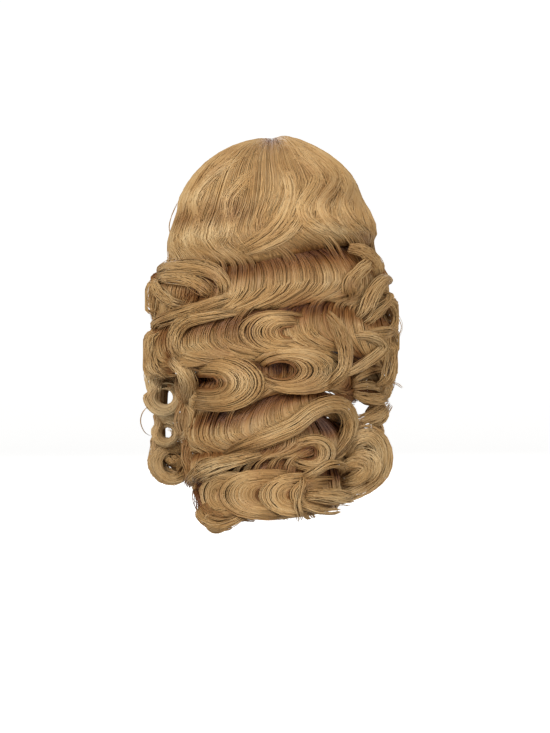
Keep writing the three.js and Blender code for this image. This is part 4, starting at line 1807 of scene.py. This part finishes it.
LOOP_NESTS = {
    "wave_tier_2": (LoopNest(288, 333, (7, 5), 276, (33, 21), 112, 8, 3, side=-1, strand_count=90),),
    "wave_tier_3": (
        LoopNest(212, 382, (10, 6), 222, (42, 26), 125, 10, 6),
        LoopNest(281, 370, (13, 9), 300, (45, 23), 150, 4, 6),
    ),
    "wave_tier_5": (LoopNest(308, 450, (5, 6), 312, (20, 17), 140, 5, 6, strand_count=70),),
    "wave_tier_6": (
        LoopNest(226, 491, (3, 4), 229, (25, 23), 105, 10, 4, side=-1, peak=2.2, strand_count=80),
        LoopNest(262, 490, (3, 5), 264, (43, 24), 105, 14, 5, side=-1, peak=2.2, strand_count=140),
        LoopNest(291, 490, (3, 4), 293, (33, 21), 105, 12, 6, side=-1, peak=2.2, strand_count=100),
        LoopNest(314, 490, (3, 4), 315, (26, 18), 105, 10, 6, side=-1, peak=2.2, strand_count=80),
    ),
}

# The free locks by the piece that they belong to: the line's points as steps across, steps down and
# half width, then the rise, the number of strands and, for a lock that hangs clear, its depths.
LOCKS = {
    "crown_hair": (
        Lock(((274, 146, 2), (295, 151, 5), (318, 162, 6), (334, 178, 6), (331, 194, 6), (321, 208, 5),
             (323, 222, 5), (338, 234, 5), (358, 241, 3)), 1.2, 44, light=0.2, sink=1.5),
        Lock(((276, 152, 2), (298, 163, 5), (316, 180, 6), (312, 198, 6), (303, 212, 6), (306, 226, 6),
             (322, 236, 5), (345, 243, 3)), 1, 44, light=0.1, sink=1.5),
        Lock(((332, 161, 3), (346, 178, 5), (351, 195, 5), (345, 208, 5), (349, 222, 5), (362, 234, 4),
             (368, 241, 3)), 1.2, 36, light=0.2, sink=1.5),
        Lock(((276, 165, 3), (286, 182, 6), (290, 200, 6), (284, 218, 6), (270, 235, 6), (249, 249, 5),
             (226, 258, 3)), 1, 44, light=0.3, sink=1.5),
        Lock(((302, 214, 3), (296, 228, 5), (282, 241, 5), (262, 251, 5), (240, 259, 3)), 1.2, 34,
             light=0.4, sink=1.5),
        Lock(((252, 152, 3), (230, 167, 6), (209, 184, 6), (197, 201, 6), (195, 216, 6), (196, 230, 6),
             (190, 247, 5)), 1, 40, light=0.2, sink=1.5),
        Lock(((262, 168, 3), (246, 184, 6), (232, 200, 6), (227, 214, 6), (229, 228, 6), (226, 242, 6),
             (214, 255, 4)), 1, 40, light=0.2, sink=1.5),
        Lock(((177, 203, 1), (171, 217, 1), (169, 229, 1), (173, 243, 1)), 0, 4, (8, 6, 6, 8), sink=0,
             radius=0.22),
    ),
    "wave_tier_1": (
        Lock(((154, 278, 3), (170, 270, 6), (195, 269, 7), (215, 275, 7), (226, 288, 6), (222, 300, 4)),
             6, 60),
        Lock(((155, 284, 3), (169, 278, 6), (190, 281, 7), (206, 290, 7), (214, 300, 5)), 4, 46),
        Lock(((157, 277, 3), (161, 290, 5), (171, 300, 5), (186, 309, 4)), 5, 34, light=0.5),
        Lock(((157, 277, 3), (152, 292, 4), (151, 305, 4), (153, 316, 3)), 4, 26),
        Lock(((240, 297, 3), (222, 303, 5), (200, 311, 6), (178, 317, 6), (160, 324, 5), (152, 335, 4)),
             6, 50),
        Lock(((372, 262, 4), (358, 272, 6), (347, 286, 6), (352, 302, 5)), 4, 40),
        Lock(((350, 250, 4), (363, 255, 6), (374, 265, 6), (381, 279, 4)), 2, 40),
        Lock(((392, 286, 3), (382, 281, 5), (372, 292, 6), (364, 308, 6), (360, 324, 4)), 6, 42,
             light=0.4),
        Lock(((388, 290, 3), (384, 302, 4), (372, 314, 5), (364, 328, 3)), 5, 26),
    ),
    "wave_tier_2": (
        Lock(((245, 312, 3), (215, 316, 5), (193, 320, 6), (181, 331, 6), (178, 348, 5), (182, 362, 4)),
             6, 50),
        Lock(((158, 328, 5), (154, 345, 6), (155, 362, 6), (160, 380, 5)), 7, 44),
        Lock(((170, 354, 5), (179, 363, 7), (187, 373, 7), (192, 387, 7), (186, 404, 6)), 5, 60,
             (54, 67, 71, 62, 40), light=0.3, points=12),
        Lock(((160, 372, 6), (170, 379, 7), (182, 386, 6)), 1, 40, (8, 6, 10), dark=0.2, points=8,
             radius=0.7),
        Lock(((150, 330, 3), (147, 348, 3), (149, 366, 3), (154, 380, 2)), 6, 18),
        Lock(((374, 304, 3), (387, 302, 5), (394, 314, 5), (391, 328, 5), (376, 336, 4), (362, 336, 3)),
             6, 46),
        Lock(((362, 333, 2), (380, 329, 3), (391, 334, 3), (394, 346, 3), (388, 358, 2)), 7, 22),
        Lock(((343, 338, 2), (358, 336, 4), (373, 340, 5), (377, 349, 5), (363, 361, 5), (348, 371, 4),
             (338, 378, 2)), 8, 52, light=0.6),
        Lock(((386, 338, 4), (389, 355, 6), (387, 372, 6), (382, 388, 4)), 6, 40),
        Lock(((326, 312, 4), (336, 330, 6), (342, 350, 6), (340, 370, 6), (328, 387, 4)), 5, 44,
             light=0.3, points=12),
        Lock(((392, 350, 2), (396, 363, 3), (392, 378, 2)), 5, 12),
        Lock(((391, 306, 1), (398, 316, 1), (402, 326, 1), (399, 337, 1)), 0, 4, (4, 0, 0, 2), sink=0,
             radius=0.22),
        Lock(((386, 378, 1), (393, 382, 1), (398, 384, 1), (403, 388, 1)), 0, 4, (20, 16, 14, 12), sink=0,
             radius=0.22),
        Lock(((386, 352, 7), (388, 370, 7), (385, 392, 6)), 1, 60, (4, 0, 0), dark=0.35, points=8),
        Lock(((389, 302, 5), (391, 314, 5), (389, 328, 5)), 1, 36, (6, 4, 4), dark=0.35, points=8),
        Lock(((356, 385, 5), (367, 389, 5), (379, 391, 4)), 1, 30, (30, 26, 18), dark=0.5, points=8),
        Lock(((188, 366, 7), (184, 384, 8), (190, 402, 8), (184, 420, 8), (190, 440, 6)), 2, 60,
             (40, 32, 34, 28, 30), dark=0.3, radius=0.65),
        Lock(((383, 296, 6), (389, 312, 7), (386, 330, 6)), 1, 36, (14, 2, 2), dark=0.3),
        Lock(((379, 294, 8), (384, 312, 9), (382, 332, 8)), 1, 40, (-8, -14, -14), dark=0.6, points=8),
        Lock(((156, 352, 6), (153, 368, 7), (154, 384, 7), (156, 398, 4)), 4, 44, (8, 10, 12, 14),
             points=10, radius=0.7),
        Lock(((316, 385, 5), (328, 390, 6), (341, 395, 6), (356, 400, 4)), 3, 44, (84, 76, 66, 50),
             dark=0.45, points=10),
        Lock(((344, 348, 6), (350, 366, 8), (346, 384, 8), (343, 398, 5)), 2, 56, (48, 42, 40, 44),
             dark=0.55),
        Lock(((348, 384, 2), (362, 374, 3), (380, 368, 4), (391, 372, 3)), 4, 26, (58, 46, 32, 20)),
        Lock(((347, 388, 2), (365, 384, 4), (385, 388, 4)), 4, 26, (56, 42, 24)),
        Lock(((348, 391, 2), (368, 398, 5), (389, 398, 4)), 4, 34, (56, 40, 20)),
    ),
    "wave_tier_4": (
        Lock(((222, 452, 2), (240, 445, 5), (262, 437, 7), (292, 424, 7), (308, 411, 7), (325, 403, 7),
             (340, 406, 7), (347, 422, 6), (343, 444, 5), (330, 462, 3)), 8, 110, points=22),
        Lock(((188, 402, 4), (196, 412, 5), (196, 424, 5), (188, 433, 4), (178, 440, 3)), 4, 34,
             (44, 46, 44, 34, 20)),
        Lock(((341, 418, 4), (352, 421, 6), (366, 418, 6), (380, 412, 6), (391, 403, 3)), 4, 40,
             (62, 52, 36, 18, 4)),
    ),
    "wave_tier_5": (
        Lock(((268, 449, 3), (245, 455, 5), (222, 462, 6), (205, 470, 6), (190, 479, 4)), 6, 56,
             light=0.5),
        Lock(((224, 457, 3), (207, 463, 6), (196, 472, 6), (188, 482, 4)), 5, 40, (90, 76, 58, 44)),
        Lock(((193, 438, 6), (190, 454, 8), (193, 470, 7), (188, 486, 4)), 2, 52, (40, 34, 34, 30),
             dark=0.35, points=12, radius=0.65),
        Lock(((300, 478, 3), (312, 468, 4), (325, 461, 4), (338, 463, 3), (345, 472, 3)), 8, 34,
             light=0.4),
        Lock(((340, 436, 6), (350, 428, 7), (364, 425, 6)), 3, 34, (66, 58, 48), dark=0.2),
        Lock(((336, 462, 8), (345, 476, 10), (341, 494, 8)), 2, 60, (62, 58, 64), dark=0.35, points=10),
        Lock(((336, 466, 9), (344, 478, 11), (341, 492, 9)), 2, 40, (40, 38, 40), dark=0.6, points=8),
        Lock(((331, 482, 5), (341, 488, 6), (352, 492, 5)), 2, 36, (62, 58, 54), dark=0.5, points=8),
    ),
    "wave_tier_6": (
        Lock(((300, 490, 4), (315, 491, 6), (335, 494, 7), (354, 497, 4)), 9, 54, light=0.5),
        Lock(((300, 500, 2), (318, 506, 3), (342, 507, 2)), 8, 16, light=0.5),
        Lock(((304, 470, 3), (299, 485, 4), (296, 500, 4), (301, 516, 2)), 8, 22, light=0.4),
        Lock(((200, 500, 3), (205, 513, 4), (220, 520, 5), (235, 516, 4), (243, 510, 3)), 5, 36),
        Lock(((202, 500, 4), (212, 510, 6), (230, 512, 5)), 1, 26, dark=0.3),
    ),
    "ring_curl_left_2": (
        Lock(((157, 421, 4), (167, 416, 6), (178, 420, 6), (184, 433, 4)), 3, 60, (-4, -2, -2, -8),
             light=0.4, points=12, radius=0.7),
    ),
    "ring_curl_left_3": (
        Lock(((190, 457, 4), (181, 448, 5), (166, 448, 5), (156, 459, 5), (158, 472, 5), (169, 480, 5),
             (182, 476, 5), (190, 468, 3)), 3, 70, (-26, -20, -18, -18, -18, -18, -20, -26), light=0.5),
        Lock(((164, 464, 4), (170, 459, 5), (177, 463, 5), (172, 470, 4)), 2, 40, (-22, -19, -19, -22),
             dark=0.1, light=0.4, points=8, radius=0.7),
    ),
    "hem_curl": (
        Lock(((199, 486, 5), (203, 499, 6), (209, 513, 5)), 2, 44, (70, 74, 78), dark=0.6, points=10),
        Lock(((206, 514, 5), (219, 520, 6), (233, 519, 5)), 2, 44, (72, 74, 76), dark=0.3, points=8,
             radius=0.7),
    ),
    "ring_curl_left_1": (
        Lock(((150, 404, 0.5), (143, 412, 0.5), (141, 422, 0.5), (145, 432, 0.5), (152, 437, 0.5)), 1, 3,
             (20, 16, 12, 8, 0), dark=0.2, radius=0.3),
    ),
    "roll_right": (
        Lock(((343, 455, 4), (352, 438, 8), (367, 434, 9), (379, 446, 9), (379, 466, 9), (367, 481, 8),
             (350, 490, 7), (330, 496, 4)), 5, 100, (72, 66, 58, 48, 46, 54, 66, 80), points=20),
        Lock(((343, 464, 4), (358, 453, 7), (371, 459, 7), (369, 473, 6), (352, 482, 5)), 5, 50,
             (66, 62, 58, 60, 66)),
        Lock(((336, 470, 3), (349, 462, 6), (362, 466, 7), (354, 476, 6), (338, 481, 3)), 4, 44,
             (70, 69, 68, 69, 72), points=12),
    ),
}




def swung_line(middle: float, swing: Array, down: Array) -> tuple[Triple, ...]:
    """A lock's line that swings from side to side of a middle on its way down."""
    return tuple((float(middle + s), float(d), 4.5) for s, d in zip(swing, down))


def hanging_locks() -> list[Lock]:
    """Wavy locks that hang from the second tier between the rings and the waves of the back.

    Each lies at its own depth and swings from side to side by a sine of its length, out of step
    with its neighbours.
    """
    locks = []
    knots, short_knots = 7, 5
    top, short_end = 350, 402
    for number in range(7):
        depth = -42 + 12 * number
        middle = 183 + 1.4 * number
        swing = 2.5 * np.sin(np.arange(knots) * 1.9 + number * 1.4)
        line = swung_line(middle, swing, np.linspace(top, 448 + 9 * (number % 3), knots))
        locks.append(Lock(line, 13, 32, (depth,) * knots, dark=0.22, light=0.0, points=10, sink=0.0))
        line = swung_line(543 - middle, -swing, np.linspace(top, short_end, short_knots))
        locks.append(Lock(line, 13, 14, (depth,) * short_knots, dark=0.25, light=0.0, points=8, sink=0.0))
    return locks


def front_locks() -> list[Lock]:
    """Waves that frame the front opening, from the crown's edge to the second tier's lip."""
    locks = []
    knots = 8
    pace = 1.75
    for side in (-1, 1):
        for number in range(4):
            down = np.linspace(242 + 4 * number, 352 + 7 * number, knots)
            swing = 5 * np.sin(np.arange(knots) * pace + number * 0.5)
            line = swung_line(VIEW.middle, side * (84 + 5 * number + swing), down)
            depths = tuple(float(-45 + 3 * number + 2 * math.cos(n * pace)) for n in range(knots))
            locks.append(Lock(line, -5, 24, depths, dark=0.05, light=0.1, points=12, sink=-4.0))
    return locks


# Places of painted shade, and below of painted light: steps across and down, their half sizes and the
# strength.
PAINTED_SHADE_PLACES = Bells((
    (258, 340, 14, 8, 0.4), (271, 142, 9, 7, 0.6), (222, 333, 10, 10, 0.2), (247, 330, 10, 11, 0.45),
    (284, 320, 8, 8, 0.4), (214, 282, 11, 10, 0.6), (245, 270, 14, 8, 0.2), (330, 330, 10, 14, 0.3),
    (186, 220, 18, 7, 0.45), (228, 218, 26, 6, 0.42), (330, 193, 12, 9, 0.3), (320, 203, 7, 9, 0.25),
    (362, 241, 9, 7, 0.35), (318, 254, 42, 6, 0.45), (205, 382, 13, 7, 0.9), (280, 369, 13, 8, 1.0),
    (196, 298, 20, 8, 0.75), (172, 355, 5, 22, 0.8), (303, 307, 18, 6, 0.8), (348, 290, 4, 12, 0.7),
    (368, 300, 4, 14, 0.5), (356, 359, 7, 8, 1.0), (372, 372, 6, 5, 0.8), (350, 386, 9, 7, 0.8),
    (215, 415, 14, 6, 0.6), (290, 395, 50, 5, 0.5), (325, 425, 12, 10, 0.7), (262, 446, 30, 6, 0.6),
    (310, 448, 9, 9, 0.8), (332, 470, 9, 7, 0.8), (200, 490, 5, 16, 0.8), (307, 480, 6, 12, 0.5),
))

# Painted light, in the same columns.
PAINTED_LIGHT_PLACES = Bells((
    (160, 386, 22, 10, 2.4), (160, 413, 22, 9, 1.8), (176, 432, 9, 16, 3.0), (158, 462, 18, 22, 1.6),
    (186, 198, 16, 7, 0.9), (222, 200, 24, 6, 0.9), (195, 239, 28, 8, 2.2), (238, 234, 18, 7, 0.5),
    (275, 216, 14, 12, 0.3), (300, 150, 26, 8, 0.6), (332, 165, 18, 9, 0.3), (332, 235, 24, 6, 2.0),
    (372, 452, 20, 30, 1.3), (345, 496, 24, 6, 0.8), (168, 440, 20, 55, 1.2), (245, 390, 14, 14, 0.4),
    (225, 464, 26, 6, 1.4), (196, 347, 22, 8, 0.8),
))


def wave_tiers(crown: Crown) -> list[WaveTier]:
    """The tiers from the top down, each under the lip of the one above."""
    tiers: list[WaveTier] = []
    outline = crown.edge
    lip = crown.lip
    for number, (sweep, plan, span, own_lip, bow, tail, sides) in enumerate(TIER_ROWS, start=1):
        comb = WIDE_COMB if number <= WIDE_TIERS else NARROW_COMB
        ends = WIDE_ENDS if number <= WIDE_TIERS else NARROW_ENDS
        own = (f"wave_tier_{number}", sweep, plan, span, own_lip)
        tier = WaveTier(*own, outline, lip, comb, bow, tail, sides, *ends)
        tiers.append(tier)
        outline = tier.outline
        lip = tier.lip
    return tiers


CAP_SEED = 11
CROWN_SEED = 20
TIER_SEED = 100  # each tier and curl adds its number
CURL_SEED = 200


def main() -> None:
    """Builds the pieces from the cap out, then the studio, and reports each one."""
    logging.basicConfig(level=logging.INFO, format="%(name)s: %(message)s")
    hair = HairFinish().material()
    net = NetFinish().material()
    rng = np.random.default_rng(CAP_SEED)
    make_piece("cap_net_shell", "wig_cap", WigCap().skin(), [], net, rng)
    crown = Crown()
    tiers = wave_tiers(crown)
    rng = np.random.default_rng(CROWN_SEED)
    groups = [crown.strands(rng), *(span.strands(crown, tiers[0], rng) for span in BRIDGES[0])]
    groups += [lock.strands(crown, rng) for lock in LOCKS["crown_hair"]]
    make_piece("crown_hair_strands", "crown_hair", crown.skin(), groups, hair, rng)
    for number, tier in enumerate(tiers, start=1):
        rng = np.random.default_rng(TIER_SEED + number)
        groups = [tier.strands(rng)]
        if number < len(tiers):
            groups += [span.strands(tier, tiers[number], rng) for span in BRIDGES[number]]
        oval = UPPER_OVAL if number <= WIDE_TIERS else LOWER_OVAL
        groups += [nest.strands(tier.outline, rng) for nest in LOOP_NESTS.get(tier.name, ())]
        groups += [lock.strands(oval, rng) for lock in LOCKS.get(tier.name, ())]
        if number == WIDE_TIERS:
            groups += [lock.strands(oval, rng) for lock in hanging_locks() + front_locks()]
        make_piece(f"{tier.name}_strands", tier.name, tier.skin(), groups, hair, rng)
    for number, curl in enumerate(CURLS, start=1):
        rng = np.random.default_rng(CURL_SEED + number)
        groups = [curl.strands(rng)]
        groups += [lock.strands(LOWER_OVAL, rng) for lock in LOCKS.get(curl.name, ())]
        make_piece(f"{curl.name}_strands", curl.name, curl.skin(), groups, hair, rng)
    studio = Studio()
    studio.backdrop(StudioFinish().material())
    studio.light()
    studio.camera()


if __name__ == "__main__":
    main()
